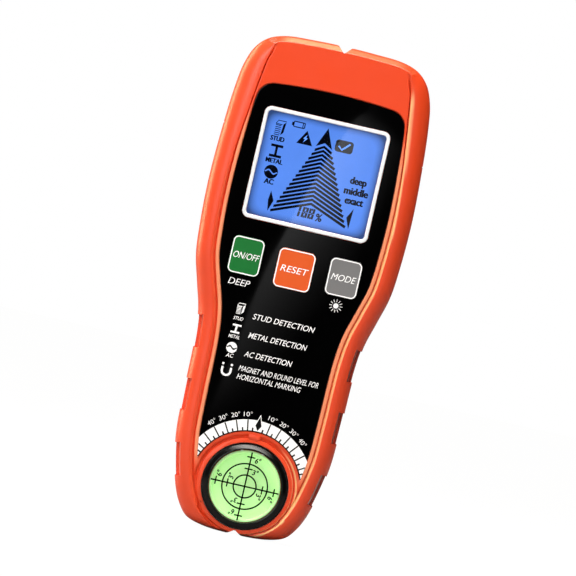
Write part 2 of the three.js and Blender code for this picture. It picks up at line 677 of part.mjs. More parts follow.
const FINISH = {
  orange: { color: 0xf6562f, roughness: 0.38 },
  blackGloss: { color: 0x0b0b0c, roughness: 0.12 },
  black: { color: 0x141414, roughness: 0.55 },
  white: { color: 0xf2f4f5, roughness: 0.4 },
  clear: { color: 0xe8f2f6, roughness: 0.05 },
  blue: { color: 0x5f96ff, roughness: 0.3 },
  milky: { color: 0xdfe8f2, roughness: 0.5 },
  green: { color: 0xb9f7a0, roughness: 0.3 },
  board: { color: 0x1d6b3a, roughness: 0.5 },
  steel: { color: 0xb4b8bc, roughness: 0.35, metalness: 1 },
  copper: { color: 0xc8733a, roughness: 0.35, metalness: 1 },
  rubber: { color: 0x33302e, roughness: 0.85 },
  nylon: { color: 0xd8d5cc, roughness: 0.6 },
  red: { color: 0xc21f1f, roughness: 0.5 },
};

const tool = new THREE.Group();
tool.rotation.x = Math.PI / 2;
tool.position.set(0, BEZEL_TOP / 2, TOP);

function place(name, finish, solid) {
  const material = new THREE.MeshStandardMaterial({ metalness: 0, ...finish });
  const mesh = new THREE.Mesh(toGeometry(solid), material);
  mesh.name = name;
  tool.add(mesh);
}

place('front_shell', FINISH.orange, frontShell());
place('rear_shell', FINISH.orange, rearShell());
place('front_panel', FINISH.blackGloss, frontPanel());

place('display_frame', FINISH.white, displayFrame());
place('display_window', FINISH.clear, displayWindow());
place('lcd_glass', FINISH.blue, lcdGlass());
place('lcd_light_guide', FINISH.milky, lightGuide());
place('zebra_strip', FINISH.rubber, zebraStrip());
place('display_holder', FINISH.black, displayHolder());

for (const key of KEYS) {
  place(`${key.name}_key`, { color: key.color, roughness: 0.4 }, keyCap(key));
  place(`${key.name}_switch`, FINISH.black, switchBase(key));
  place(`${key.name}_switch_plunger`, FINISH.nylon, switchPlunger(key));
}

place('dial_bezel', FINISH.black, dialBezel());
place('dial_retainer', FINISH.black, dialRetainer());
place('dial_wave_washer', FINISH.steel, waveWasher());
place('level_vial', FINISH.green, vialCup());
place('level_lens', FINISH.clear, levelLens());
place('level_bubble', FINISH.clear, bubble());

place('main_board', FINISH.board, mainBoard());
place('controller_chip', FINISH.black, controllerChip());
place('buzzer', FINISH.black, buzzer());
place('power_capacitor', FINISH.steel, powerCapacitor());
place('crystal', FINISH.steel, crystal());
BOARD_SCREWS.forEach((spot, index) => place(`board_screw_${index + 1}`, FINISH.steel, boardScrew(spot)));

place('sensor_board', FINISH.board, sensorBoard());
for (const [side, column] of [['left', -1], ['middle', 0], ['right', 1]]) {
  place(`sensor_plate_${side}`, FINISH.copper, sensorPlate(column));
}
place('search_coil', FINISH.copper, searchCoil());
place('coil_bobbin', FINISH.nylon, coilBobbin());
place('ribbon_cable', FINISH.nylon, ribbonCable());
place('marking_magnet', FINISH.steel, disc(0, MAGNET.y, MAGNET.radius, ...MAGNET.levels));

place('battery_9v', FINISH.steel, battery());
place('battery_snap', FINISH.rubber, batterySnap());
place('battery_lead_red', FINISH.red, batteryLead(LEAD.x));
place('battery_lead_black', FINISH.black, batteryLead(-LEAD.x));
place('battery_door', FINISH.orange, batteryDoor());

CASE_SCREWS.forEach((spot, index) => place(`case_screw_${index + 1}`, FINISH.steel, caseScrew(spot)));
for (const { name, x, y, length } of PADS) {
  place(name, FINISH.rubber, roundedBlock(x, y, PAD.width, length, 2.2, 0, BACK + PAD.depth - GAP));
}

export default tool;
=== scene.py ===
"""Looks of the stud finder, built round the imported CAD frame.

Shapes are worked out lying on their back, in millimetres: x to the right, y towards the head, z out of the
front face, with z = 0 on the rear glide pads and y = 0 at half the length. row() turns them upright, in metres.
"""

import math

import bmesh
import bpy
import numpy as np
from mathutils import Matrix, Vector

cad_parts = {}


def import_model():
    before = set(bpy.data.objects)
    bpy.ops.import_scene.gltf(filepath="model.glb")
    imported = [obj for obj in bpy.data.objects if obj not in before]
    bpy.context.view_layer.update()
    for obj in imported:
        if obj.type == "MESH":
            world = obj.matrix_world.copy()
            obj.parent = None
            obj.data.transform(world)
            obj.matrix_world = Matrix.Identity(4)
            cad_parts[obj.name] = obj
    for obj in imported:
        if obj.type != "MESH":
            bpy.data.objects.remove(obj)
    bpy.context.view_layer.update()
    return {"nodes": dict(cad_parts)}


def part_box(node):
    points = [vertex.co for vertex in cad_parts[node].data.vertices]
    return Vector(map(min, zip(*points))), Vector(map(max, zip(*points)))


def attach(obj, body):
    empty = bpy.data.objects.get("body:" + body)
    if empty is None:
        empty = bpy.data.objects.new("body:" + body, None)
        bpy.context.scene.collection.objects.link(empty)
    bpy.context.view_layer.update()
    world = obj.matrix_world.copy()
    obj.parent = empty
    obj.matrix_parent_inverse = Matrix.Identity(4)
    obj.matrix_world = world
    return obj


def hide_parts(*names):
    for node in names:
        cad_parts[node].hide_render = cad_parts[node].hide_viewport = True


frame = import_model()

# ------------------------------------------------------------------ the frame in flat millimetres

MM = 0.001
REAR_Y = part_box("glide_pad_upper_left")[1].y
HALF_LENGTH = 90.0


def row(points):
    """Flat millimetres to the row frame in metres."""
    p = np.asarray(points, float).reshape(-1, 3)
    return np.column_stack([p[:, 0] * MM, REAR_Y - p[:, 2] * MM, (p[:, 1] + HALF_LENGTH) * MM])


def flat_box(node):
    """Lowest and highest corner of a CAD node in flat millimetres."""
    low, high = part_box(node)
    return (
        np.array([low.x / MM, low.z / MM - HALF_LENGTH, (REAR_Y - high.y) / MM]),
        np.array([high.x / MM, high.z / MM - HALF_LENGTH, (REAR_Y - low.y) / MM]),
    )


def middle(node):
    low, high = flat_box(node)
    return (low + high) / 2


PLATEAU = 29.4
CEILING = 26.4
PART_LINE = 14.0
PANEL_SEAT = 28.0
BACK = 0.8
PANEL_TOP = flat_box("front_panel")[1][2]
GLASS_TOP = flat_box("lcd_glass")[1][2]
BEZEL_TOP = flat_box("dial_bezel")[1][2]
DIAL_Y = middle("dial_bezel")[1]
DISPLAY_Y = middle("display_frame")[1]
GAP = 0.3
PRINT = 0.04

# half the width of the tool at a distance from its top edge, from the head to the tail
HALF_WIDTHS = [
    (1.0, 21.6), (3.1, 27.6), (7.1, 31.7), (13.5, 34.3), (23.3, 35.8), (42.6, 37.1), (57.5, 37.5),
    (72.9, 37.0), (84.5, 35.9), (94.5, 33.2), (103.5, 30.7), (112.5, 29.6), (134.0, 29.1), (148.5, 28.5),
    (159.3, 26.6), (168.3, 24.1), (173.7, 21.4), (177.3, 18.2), (179.3, 12.0),
]
BUMPER_WIDTH = 7.4
PANEL_INSET = 8.7
COLLAR = 17.2
GROOVE = 18.6
PANEL_ARC = 19.9
GRIP_ROWS = [-21.5, -44.8, -68.1]
# how much shade is painted into the right-hand grips
GRIP_PAINTED_SHADE = 0.6
GRIP_LENGTH = 12.8
NOTCH_BACKING = (-4.5, 4.5, 84.8, 88.6)
GRIP_DEPTH = 0.4
FINE = 12


# ------------------------------------------------------------------ outlines

def centripetal(knots, per_knot):
    """Closed Catmull-Rom curve through the knots, with its tangents."""
    knots = np.asarray(knots, float)
    count = len(knots)
    points, tangents = [], []
    for k in range(count):
        p0, p1, p2, p3 = (knots[(k + step) % count] for step in (-1, 0, 1, 2))
        gaps = [max(np.linalg.norm(b - a) ** 0.5, 1e-6) for a, b in ((p0, p1), (p1, p2), (p2, p3))]
        t1 = ((p1 - p0) / gaps[0] - (p2 - p0) / (gaps[0] + gaps[1]) + (p2 - p1) / gaps[1]) * gaps[1]
        t2 = ((p2 - p1) / gaps[1] - (p3 - p1) / (gaps[1] + gaps[2]) + (p3 - p2) / gaps[2]) * gaps[1]
        c2 = -3 * p1 + 3 * p2 - 2 * t1 - t2
        c3 = 2 * p1 - 2 * p2 + t1 + t2
        for step in range(per_knot):
            t = step / per_knot
            points.append(p1 + t1 * t + c2 * t * t + c3 * t ** 3)
            tangents.append(t1 + 2 * c2 * t + 3 * c3 * t * t)
    return np.array(points), np.array(tangents)


def tool_outline():
    """Counter-clockwise outline of the tool seen from the front: points and outward normals."""
    left = [(-half, HALF_LENGTH - down) for down, half in HALF_WIDTHS]
    right = [(half, HALF_LENGTH - down) for down, half in HALF_WIDTHS][::-1]
    top = right[-1][1]
    knots = [(0, top + 1), (-11, top + 0.75), *left, (0, -HALF_LENGTH), *right, (11, top + 0.75)]
    points, tangents = centripetal(knots, FINE)
    tangents /= np.linalg.norm(tangents, axis=1)[:, None]
    normals = np.column_stack([tangents[:, 1], -tangents[:, 0]])
    low, high = flat_box("front_shell")
    points[:, 1] = np.clip(points[:, 1], low[1], high[1])
    return points, normals


EDGE, OUT = tool_outline()


def inset(points, amount):
    """A closed counter-clockwise polygon moved inwards by amount."""
    p = np.asarray(points, float)
    forward = np.roll(p, -1, axis=0) - p
    forward /= np.maximum(np.linalg.norm(forward, axis=1)[:, None], 1e-9)
    back = np.roll(forward, 1, axis=0)
    inner = [np.column_stack([-d[:, 1], d[:, 0]]) for d in (back, forward)]
    bisector = inner[0] + inner[1]
    scale = np.maximum((bisector * inner[1]).sum(axis=1), 0.4)
    return p + bisector / scale[:, None] * amount


def arc(cx, cy, radius, start, end, steps):
    """Points on an arc, angles in degrees."""
    angles = np.radians(np.linspace(start, end, steps + 1))
    return np.column_stack([cx + radius * np.cos(angles), cy + radius * np.sin(angles)])


def circle(cx, cy, radius, steps=96):
    return arc(cx, cy, radius, 0, 360, steps)[:-1]


def rounded(cx, cy, width, height, corner, steps=8):
    """Counter-clockwise rounded rectangle."""
    dx, dy = width / 2 - corner, height / 2 - corner
    corners = [(dx, dy, 0), (-dx, dy, 90), (-dx, -dy, 180), (dx, -dy, 270)]
    return np.vstack([arc(cx + x, cy + y, corner, a, a + 90, steps) for x, y, a in corners])


def panel_outline():
    """The black panel before the dial's circle is cut out of it: sides parallel to the edge, arched top."""
    sides = EDGE - OUT * PANEL_INSET
    corner_x, corner_y, corner, arch = 21.0, 65.2, 6.1, 150.0
    tip_y = -65.6
    right = sides[(sides[:, 0] > 0) & (sides[:, 1] < corner_y - 0.4)]
    right = right[np.argsort(right[:, 1])]
    tip = [np.interp(tip_y, right[:, 1], right[:, 0]), tip_y]
    right = np.vstack([tip, right[right[:, 1] > tip_y + 0.4]])
    shoulder = math.degrees(math.asin(corner_x / arch))
    crest = 72.4
    corner_right = arc(corner_x, corner_y, corner, 2, 90 - shoulder, 12)
    start = corner_right[-1]
    xs = np.linspace(start[0], 0, 12)[1:]
    rise = (crest - start[1]) * (1 - (xs / start[0]) ** 2)
    top = np.column_stack([xs, start[1] + rise])
    half = np.vstack([right, corner_right, top])
    left = half[-2::-1] * [-1, 1]
    return np.vstack([half, left])


# ------------------------------------------------------------------ meshes

def loft(rings):
    """Closed solid through rings of equal length, capped at both ends: (points, faces)."""
    count = len(rings[0])
    points = np.vstack(rings)
    faces = [tuple(range(count - 1, -1, -1))]
    for layer in range(len(rings) - 1):
        low, high = layer * count, (layer + 1) * count
        for i in range(count):
            j = (i + 1) % count
            faces.append((low + i, low + j, high + j, high + i))
    last = (len(rings) - 1) * count
    faces.append(tuple(range(last, last + count)))
    return points, faces


def at_level(points, level):
    p = np.asarray(points, float)
    return np.column_stack([p, np.full(len(p), float(level))])


def prism(points, low, high, round_low=0.0, round_high=0.0, steps=4):
    """Solid with the given outline between two levels, its edges rounded."""
    rings = []
    if round_low:
        for a in np.linspace(math.pi / 2, 0, steps + 1)[:-1]:
            rings.append(at_level(inset(points, round_low * (1 - math.cos(a))), low + round_low * (1 - math.sin(a))))
    else:
        rings.append(at_level(points, low))
    if round_low:
        rings.append(at_level(points, low + round_low))
    if round_high:
        rings.append(at_level(points, high - round_high))
        for a in np.linspace(0, math.pi / 2, steps + 1)[1:]:
            amount = round_high * (1 - math.cos(a))
            rings.append(at_level(inset(points, amount), high - round_high * (1 - math.sin(a))))
    else:
        rings.append(at_level(points, high))
    return loft(rings)


def lathe(profile, cx, cy, steps=96):
    """Closed ring: a closed (radius, level) profile turned about the vertical line at cx, cy."""
    profile = np.asarray(profile, float)
    size = len(profile)
    points, faces = [], []
    for k in range(steps):
        a = 2 * math.pi * k / steps
        points += [(cx + r * math.cos(a), cy + r * math.sin(a), z) for r, z in profile]
    for k in range(steps):
        here, there = k * size, ((k + 1) % steps) * size
        for i in range(size):
            j = (i + 1) % size
            faces.append((here + i, there + i, there + j, here + j))
    return np.array(points), faces


def sweep(path, normals, section):
    """Closed bar along an open path: section is a closed list of (inset, level)."""
    rings = []
    for point, normal in zip(path, normals):
        ring = [(point[0] - normal[0] * t, point[1] - normal[1] * t, z) for t, z in section]
        rings.append(np.array(ring))
    return loft(rings)


def box(x0, x1, y0, y1, z0, z1):
    return prism([(x0, y0), (x1, y0), (x1, y1), (x0, y1)], z0, z1)


def merged(parts):
    points, faces, start = [], [], 0
    for part_points, part_faces in parts:
        points.append(np.asarray(part_points, float))
        faces += [tuple(start + i for i in face) for face in part_faces]
        start += len(part_points)
    return np.vstack(points), faces


def new_object(name, solid):
    points, faces = solid
    mesh = bpy.data.meshes.new(name)
    mesh.from_pydata(row(points).tolist(), [], [list(f) for f in faces])
    tidy = bmesh.new()
    tidy.from_mesh(mesh)
    bmesh.ops.remove_doubles(tidy, verts=tidy.verts, dist=1e-8)
    bmesh.ops.recalc_face_normals(tidy, faces=tidy.faces)
    tidy.to_mesh(mesh)
    tidy.free()
    obj = bpy.data.objects.new(name, mesh)
    bpy.context.scene.collection.objects.link(obj)
    return obj


def carve(obj, solid, operation="DIFFERENCE"):
    """Cuts the solid out of obj, or joins it on, and keeps the result as plain mesh."""
    tool = solid if isinstance(solid, bpy.types.Object) else new_object("cutter", solid)
    change = obj.modifiers.new("carve", "BOOLEAN")
    change.solver = "MANIFOLD"
    change.operation = operation
    change.object = tool
    bpy.context.view_layer.update()
    result = bpy.data.meshes.new_from_object(obj.evaluated_get(bpy.context.evaluated_depsgraph_get()))
    obj.modifiers.clear()
    obj.data = result
    bpy.data.objects.remove(tool)
    return obj


def shade(obj, angle=28, flat=True):
    """Smooth shading with sharp edges where the surface turns by more than angle, and quiet flats if wanted."""
    for polygon in obj.data.polygons:
        polygon.use_smooth = True
    obj.data.set_sharp_from_angle(angle=math.radians(angle))
    if flat:
        even = obj.modifiers.new("even", "WEIGHTED_NORMAL")
        even.keep_sharp = True
        even.weight = 80
    return obj


def piece(name, solid, body, material, replaces=(), angle=28, flat=True):
    """A finished piece: solid is an object or (points, faces)."""
    obj = solid if isinstance(solid, bpy.types.Object) else new_object(name, solid)
    obj.name = name
    obj.data.name = name
    obj.data.materials.clear()
    obj.data.materials.append(material)
    shade(obj, angle, flat)
    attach(obj, body)
    if replaces:
        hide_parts(*replaces)
    return obj


# ------------------------------------------------------------------ lettering and signs

def text_solid(text, weight):
    """A word as a closed solid of unit cap height, from Blender's own font, with its left end at 0."""
    curve = bpy.data.curves.new("word", "FONT")
    curve.body = text
    curve.size = 1.0
    curve.offset = weight
    curve.extrude = 0.05
    curve.resolution_u = 4
    obj = bpy.data.objects.new("word", curve)
    bpy.context.scene.collection.objects.link(obj)
    bpy.context.view_layer.update()
    mesh = bpy.data.meshes.new_from_object(obj.evaluated_get(bpy.context.evaluated_depsgraph_get()))
    points = np.array([v.co for v in mesh.vertices], float)
    faces = [tuple(p.vertices) for p in mesh.polygons]
    bpy.data.objects.remove(obj)
    bpy.data.meshes.remove(mesh)
    return points, faces


CAP_HEIGHT = np.ptp(text_solid("H", 0.0)[0][:, 1])


def bold(text, x, y, level, cap, width, stroke_width=0.16):
    """A word struck twice side by side, centred on x."""
    half = stroke_width / 2
    return merged([word(text, x + side * half, y, level, cap, width, "centre", 0.0, 0.02) for side in (-1, 1)])


def word(text, x, y, level, cap, width=None, align="left", slant=0.0, weight=0.0, turn=0.0):
    """Lettering with its baseline at y. cap is its cap height, turn turns it about x, y in degrees."""
    points, faces = text_solid(text, weight)
    points[:, :2] *= cap / CAP_HEIGHT
    points[:, 0] -= points[:, 0].min()
    if width:
        points[:, 0] *= width / points[:, 0].max()
    points[:, 0] -= {"left": 0.0, "centre": 0.5, "right": 1.0}[align] * points[:, 0].max()
    points[:, 0] += slant * points[:, 1]
    points[:, 2] = np.where(points[:, 2] > 0, level + PRINT, level)
    c, s = math.cos(math.radians(turn)), math.sin(math.radians(turn))
    turned = np.column_stack([points[:, 0] * c - points[:, 1] * s, points[:, 0] * s + points[:, 1] * c])
    return np.column_stack([turned + [x, y], points[:, 2]]), faces


def plate(points, level, thick=PRINT):
    p = np.asarray(points, float)
    area = np.dot(p[:, 0], np.roll(p[:, 1], -1)) - np.dot(p[:, 1], np.roll(p[:, 0], -1))
    return prism(p if area > 0 else p[::-1], level, level + thick)


def stroke(points, width, level, closed=False, thick=PRINT):
    """A line of even width along a path."""
    p = np.asarray(points, float)
    if closed:
        return merged([frame_ring(inset(p, -width / 2), inset(p, width / 2), level, level + thick)])
    direction = np.gradient(p, axis=0)
    direction /= np.maximum(np.linalg.norm(direction, axis=1)[:, None], 1e-9)
    side = np.column_stack([-direction[:, 1], direction[:, 0]]) * width / 2
    return plate(np.vstack([p + side, (p - side)[::-1]]), level, thick)


def frame_ring(outer, inner, low, high):
    """A frame between two outlines of equal length."""
    count = len(outer)
    rings = [at_level(outer, low), at_level(outer, high), at_level(inner, high), at_level(inner, low)]
    points = np.vstack(rings)
    faces = []
    for layer in range(4):
        here, there = layer * count, ((layer + 1) % 4) * count
        for i in range(count):
            j = (i + 1) % count
            faces.append((here + i, here + j, there + j, there + i))
    return points, faces


def ring_sign(cx, cy, radius, width, level, steps=72):
    return frame_ring(circle(cx, cy, radius + width / 2, steps), circle(cx, cy, radius - width / 2, steps),
                      level, level + PRINT)


def sine_wave(cx, cy, length, height, steps=16):
    xs = np.linspace(-length / 2, length / 2, steps + 1)
    return np.column_stack([cx + xs, cy + height * np.sin(-xs / length * 2 * math.pi)])


def beam_sign(cx, cy, width, height, level, slant):
    """An I-beam."""
    bar, web = height * 0.2, width * 0.2
    parts = [
        [(-width / 2, height / 2 - bar), (width / 2, height / 2 - bar), (width / 2, height / 2), (-width / 2, height / 2)],
        [(-width / 2, -height / 2), (width / 2, -height / 2), (width / 2, bar - height / 2), (-width / 2, bar - height / 2)],
        [(-web / 2, -height / 2 + bar), (web / 2, -height / 2 + bar), (web / 2, height / 2 - bar), (-web / 2, height / 2 - bar)],
    ]
    return merged([plate([(cx + x + slant * y, cy + y) for x, y in part], level) for part in parts])


def stud_sign(cx, cy, width, height, level, line):
    """A timber stud in perspective: its ribbed broad face, its solid narrow side and its top end."""
    left, right = cx - width / 2, cx + width / 2
    low, high = cy - height / 2, cy + height / 2
    split = cx + width * 0.14
    lean = width * 0.3
    parts = [
        plate([(split, low), (right - lean * 0.3, low + lean), (right, high - lean * 0.2), (split + lean * 0.4, high - lean)], level),
        stroke([(left, high - lean * 1.2), (left + lean * 0.6, high), (right, high)], line, level),
        stroke([(left, high - lean * 1.2), (split, high - lean * 1.2)], line, level),
    ]
    rows = 6
    for k in range(rows):
        y = low + (high - lean * 1.6 - low) * k / (rows - 1)
        parts.append(stroke([(left, y), (split - line, y)], line, level))
    return merged(parts)


def wave_sign(cx, cy, radius, level, line):
    """A disc with a sine wave left out of it, as two halves."""
    wave = sine_wave(cx, cy, radius * 1.55, radius * 0.24)
    upper = np.vstack([wave + [0, line / 2], arc(cx, cy, radius, 0, 180, 24)])
    lower = np.vstack([wave - [0, line / 2], arc(cx, cy, radius, 0, -180, 24)])
    return merged([plate(upper, level), plate(lower, level)])


def magnet_sign(cx, cy, width, height, level, line):
    """A horseshoe magnet, open to the head, with its two poles apart."""
    radius = width / 2 - line / 2
    low = cy - height / 2 + radius + line / 2
    bow = arc(cx, low, radius, 180, 360, 20)
    legs = np.vstack([[(cx - radius, low + height * 0.28)], bow, [(cx + radius, low + height * 0.28)]])
    parts = [stroke(legs, line, level)]
    for side in (-radius, radius):
        parts.append(plate(rounded(cx + side, cy + height / 2 - line * 0.6, line * 1.05, line * 1.05, line * 0.3, 3), level))
    return merged(parts)


def sun_sign(cx, cy, core, reach, level, line):
    parts = [plate(circle(cx, cy, core, 28), level)]
    for k in range(12):
        a = math.radians(30 * k)
        c, s = math.cos(a), math.sin(a)
        start, end = core * 1.45, reach
        parts.append(stroke([(cx + start * c, cy + start * s), (cx + end * c, cy + end * s)], line, level))
    return merged(parts)


# ------------------------------------------------------------------ materials

def nodes_of(name):
    material = bpy.data.materials.new(name)
    material.use_nodes = True
    tree = material.node_tree
    tree.nodes.clear()
    output = tree.nodes.new("ShaderNodeOutputMaterial")
    return material, tree, output


def link(tree, source, target):
    tree.links.new(source, target)


def noise(tree, scale, detail=3.0, roughness=0.55):
    place = tree.nodes.new("ShaderNodeTexCoord")
    node = tree.nodes.new("ShaderNodeTexNoise")
    node.inputs["Scale"].default_value = scale
    node.inputs["Detail"].default_value = detail
    node.inputs["Roughness"].default_value = roughness
    link(tree, place.outputs["Object"], node.inputs["Vector"])
    return node.outputs["Fac"]


def span(tree, value, low, high, start=0.3, end=0.7):
    """value from start..end mapped to low..high."""
    node = tree.nodes.new("ShaderNodeMapRange")
    node.inputs["From Min"].default_value = start
    node.inputs["From Max"].default_value = end
    node.inputs["To Min"].default_value = low
    node.inputs["To Max"].default_value = high
    link(tree, value, node.inputs["Value"])
    return node.outputs["Result"]


def product(tree, first, second):
    node = tree.nodes.new("ShaderNodeMath")
    node.operation = "MULTIPLY"
    link(tree, first, node.inputs[0])
    link(tree, second, node.inputs[1])
    return node.outputs["Value"]


def tinted(tree, factor, dark, light):
    node = tree.nodes.new("ShaderNodeMix")
    node.data_type = "RGBA"
    node.inputs["A"].default_value = (*dark, 1)
    node.inputs["B"].default_value = (*light, 1)
    link(tree, factor, node.inputs["Factor"])
    return node.outputs["Result"]


def surface(name, color, roughness, *, metallic=0.0, specular=0.5, spread=0.06, mottle=40.0, shade_by=0.05,
            grain=2500.0, bump=0.05, coat=0.0, coat_roughness=0.1, glow=0.0, painted_highlight=None, scatter=0.0):
    """Moulded plastic, rubber, metal or print: base colour, roughness and relief all vary over the surface."""
    material, tree, output = nodes_of(name)
    shader = tree.nodes.new("ShaderNodeBsdfPrincipled")
    link(tree, shader.outputs["BSDF"], output.inputs["Surface"])
    base = np.array(color, float)
    cloud = noise(tree, mottle)
    paint = tinted(tree, span(tree, cloud, 0, 1), base * (1 - shade_by), np.minimum(base * (1 + shade_by), 1))
    # paler tones are painted highlights where the mesh is marked for them
    if painted_highlight:
        # the dark tone, 0.12 of the base colour, is the painted shade for the grips
        paint = paint_highlights_and_shade(tree, paint, painted_highlight, base * 0.12)
    link(tree, paint, shader.inputs["Base Color"])
    link(tree, span(tree, noise(tree, mottle * 3.1), roughness - spread, roughness + spread), shader.inputs["Roughness"])
    shader.inputs["Metallic"].default_value = metallic
    shader.inputs["Specular IOR Level"].default_value = specular
    shader.inputs["Coat Weight"].default_value = coat
    shader.inputs["Coat Roughness"].default_value = coat_roughness
    if scatter:
        shader.inputs["Subsurface Weight"].default_value = scatter
        shader.inputs["Subsurface Radius"].default_value = (0.004, 0.0015, 0.0006)
        shader.inputs["Subsurface Scale"].default_value = 0.5
    if glow:
        shader.inputs["Emission Color"].default_value = (*base, 1)
        shader.inputs["Emission Strength"].default_value = glow
    if bump:
        relief = tree.nodes.new("ShaderNodeBump")
        relief.inputs["Strength"].default_value = bump
        relief.inputs["Distance"].default_value = 0.0002
        link(tree, noise(tree, grain, 2.0), relief.inputs["Height"])
        link(tree, relief.outputs["Normal"], shader.inputs["Normal"])
    return material


def marked(tree, name):
    """A mark stored on the mesh, made a little uneven."""
    read = tree.nodes.new("ShaderNodeAttribute")
    read.attribute_name = name
    return product(tree, read.outputs["Fac"], span(tree, noise(tree, 70), 0.8, 1.0))


def paint_highlights_and_shade(tree, paint, tones, painted_shade):
    """Mixes in paler tones as painted highlights where the mesh is marked for them, and a dark tone as painted shade
    where it is marked for that.
    """
    painted_highlight = marked(tree, "painted_highlight")
    shares = [span(tree, painted_highlight, 0.0, 1.0, start, start + 1.0) for start in range(len(tones))]
    for share, tone in zip([*shares, marked(tree, "painted_grip_shade")], [*tones, painted_shade]):
        mix = tree.nodes.new("ShaderNodeMix")
        mix.data_type = "RGBA"
        link(tree, share, mix.inputs["Factor"])
        link(tree, paint, mix.inputs["A"])
        mix.inputs["B"].default_value = (*tone, 1)
        paint = mix.outputs["Result"]
    return paint


def clear(name, tint, gloss=1.0, roughness=0.03):
    """Clear plastic: see-through, with a soft reflection on its outer faces that grows at grazing angles."""
    material, tree, output = nodes_of(name)
    through = tree.nodes.new("ShaderNodeBsdfTransparent")
    through.inputs["Color"].default_value = (*tint, 1)
    glossy = tree.nodes.new("ShaderNodeBsdfGlossy")
    link(tree, span(tree, noise(tree, 60), roughness, roughness * 1.6), glossy.inputs["Roughness"])
    weight = tree.nodes.new("ShaderNodeFresnel")
    weight.inputs["IOR"].default_value = 1.45
    side = tree.nodes.new("ShaderNodeNewGeometry")
    outer = span(tree, side.outputs["Backfacing"], gloss, 0.0, 0.0, 1.0)
    mix = tree.nodes.new("ShaderNodeMixShader")
    link(tree, product(tree, weight.outputs["Fac"], outer), mix.inputs["Fac"])
    link(tree, through.outputs["BSDF"], mix.inputs[1])
    link(tree, glossy.outputs["BSDF"], mix.inputs[2])
    link(tree, mix.outputs["Shader"], output.inputs["Surface"])
    return material


def edge_distance(tree, centre, half_width, half_height):
    """0 in the middle of the display, 1 at its edges, squared off like the display."""
    place = tree.nodes.new("ShaderNodeTexCoord")
    apart = tree.nodes.new("ShaderNodeSeparateXYZ")
    link(tree, place.outputs["Object"], apart.inputs["Vector"])
    powers = []
    for axis, offset, half in (("X", centre.x, half_width), ("Z", centre.z, half_height)):
        shifted = tree.nodes.new("ShaderNodeMath")
        shifted.operation = "SUBTRACT"
        shifted.inputs[1].default_value = offset
        link(tree, apart.outputs[axis], shifted.inputs[0])
        scaled = tree.nodes.new("ShaderNodeMath")
        scaled.operation = "DIVIDE"
        scaled.inputs[1].default_value = half
        link(tree, shifted.outputs["Value"], scaled.inputs[0])
        raised = tree.nodes.new("ShaderNodeMath")
        raised.operation = "POWER"
        raised.inputs[1].default_value = 10.0
        link(tree, scaled.outputs["Value"], raised.inputs[0])
        powers.append(raised.outputs["Value"])
    total = tree.nodes.new("ShaderNodeMath")
    total.operation = "ADD"
    link(tree, powers[0], total.inputs[0])
    link(tree, powers[1], total.inputs[1])
    return total.outputs["Value"]


def display_blue():
    """Back-lit liquid crystal: even blue light, darkened by painted shade in the last millimetre before the frame."""
    material, tree, output = nodes_of("lcd_blue")
    shader = tree.nodes.new("ShaderNodeBsdfPrincipled")
    link(tree, shader.outputs["BSDF"], output.inputs["Surface"])
    low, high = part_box("lcd_glass")
    view_low, view_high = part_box("display_window")
    centre = (view_low + view_high) / 2
    edge = edge_distance(tree, centre, (view_high.x - view_low.x) / 2, (view_high.z - view_low.z) / 2)
    # the darker tone towards the edges is painted shade under the frame's edge
    light = tinted(tree, span(tree, edge, 0, 1, 0.25, 1.1), (0.118, 0.32, 1.02), (0.03, 0.075, 0.22))
    shader.inputs["Base Color"].default_value = (0.008, 0.02, 0.08, 1)
    link(tree, light, shader.inputs["Emission Color"])
    link(tree, span(tree, noise(tree, 90), 0.86, 0.94), shader.inputs["Emission Strength"])
    shader.inputs["Roughness"].default_value = 0.35
    return material


def circuit_board(name):
    """Green solder mask over copper tracks, with a fine laminate weave."""
    material, tree, output = nodes_of(name)
    shader = tree.nodes.new("ShaderNodeBsdfPrincipled")
    link(tree, shader.outputs["BSDF"], output.inputs["Surface"])
    place = tree.nodes.new("ShaderNodeTexCoord")
    tracks = tree.nodes.new("ShaderNodeTexBrick")
    tracks.inputs["Scale"].default_value = 120.0
    tracks.inputs["Mortar Size"].default_value = 0.03
    tracks.inputs["Color1"].default_value = (0.01, 0.13, 0.04, 1)
    tracks.inputs["Color2"].default_value = (0.012, 0.16, 0.05, 1)
    tracks.inputs["Mortar"].default_value = (0.03, 0.28, 0.09, 1)
    turn = tree.nodes.new("ShaderNodeMapping")
    turn.inputs["Rotation"].default_value = (math.pi / 2, 0, 0)
    link(tree, place.outputs["Object"], turn.inputs["Vector"])
    link(tree, turn.outputs["Vector"], tracks.inputs["Vector"])
    link(tree, tracks.outputs["Color"], shader.inputs["Base Color"])
    link(tree, span(tree, noise(tree, 200), 0.3, 0.5), shader.inputs["Roughness"])
    return material


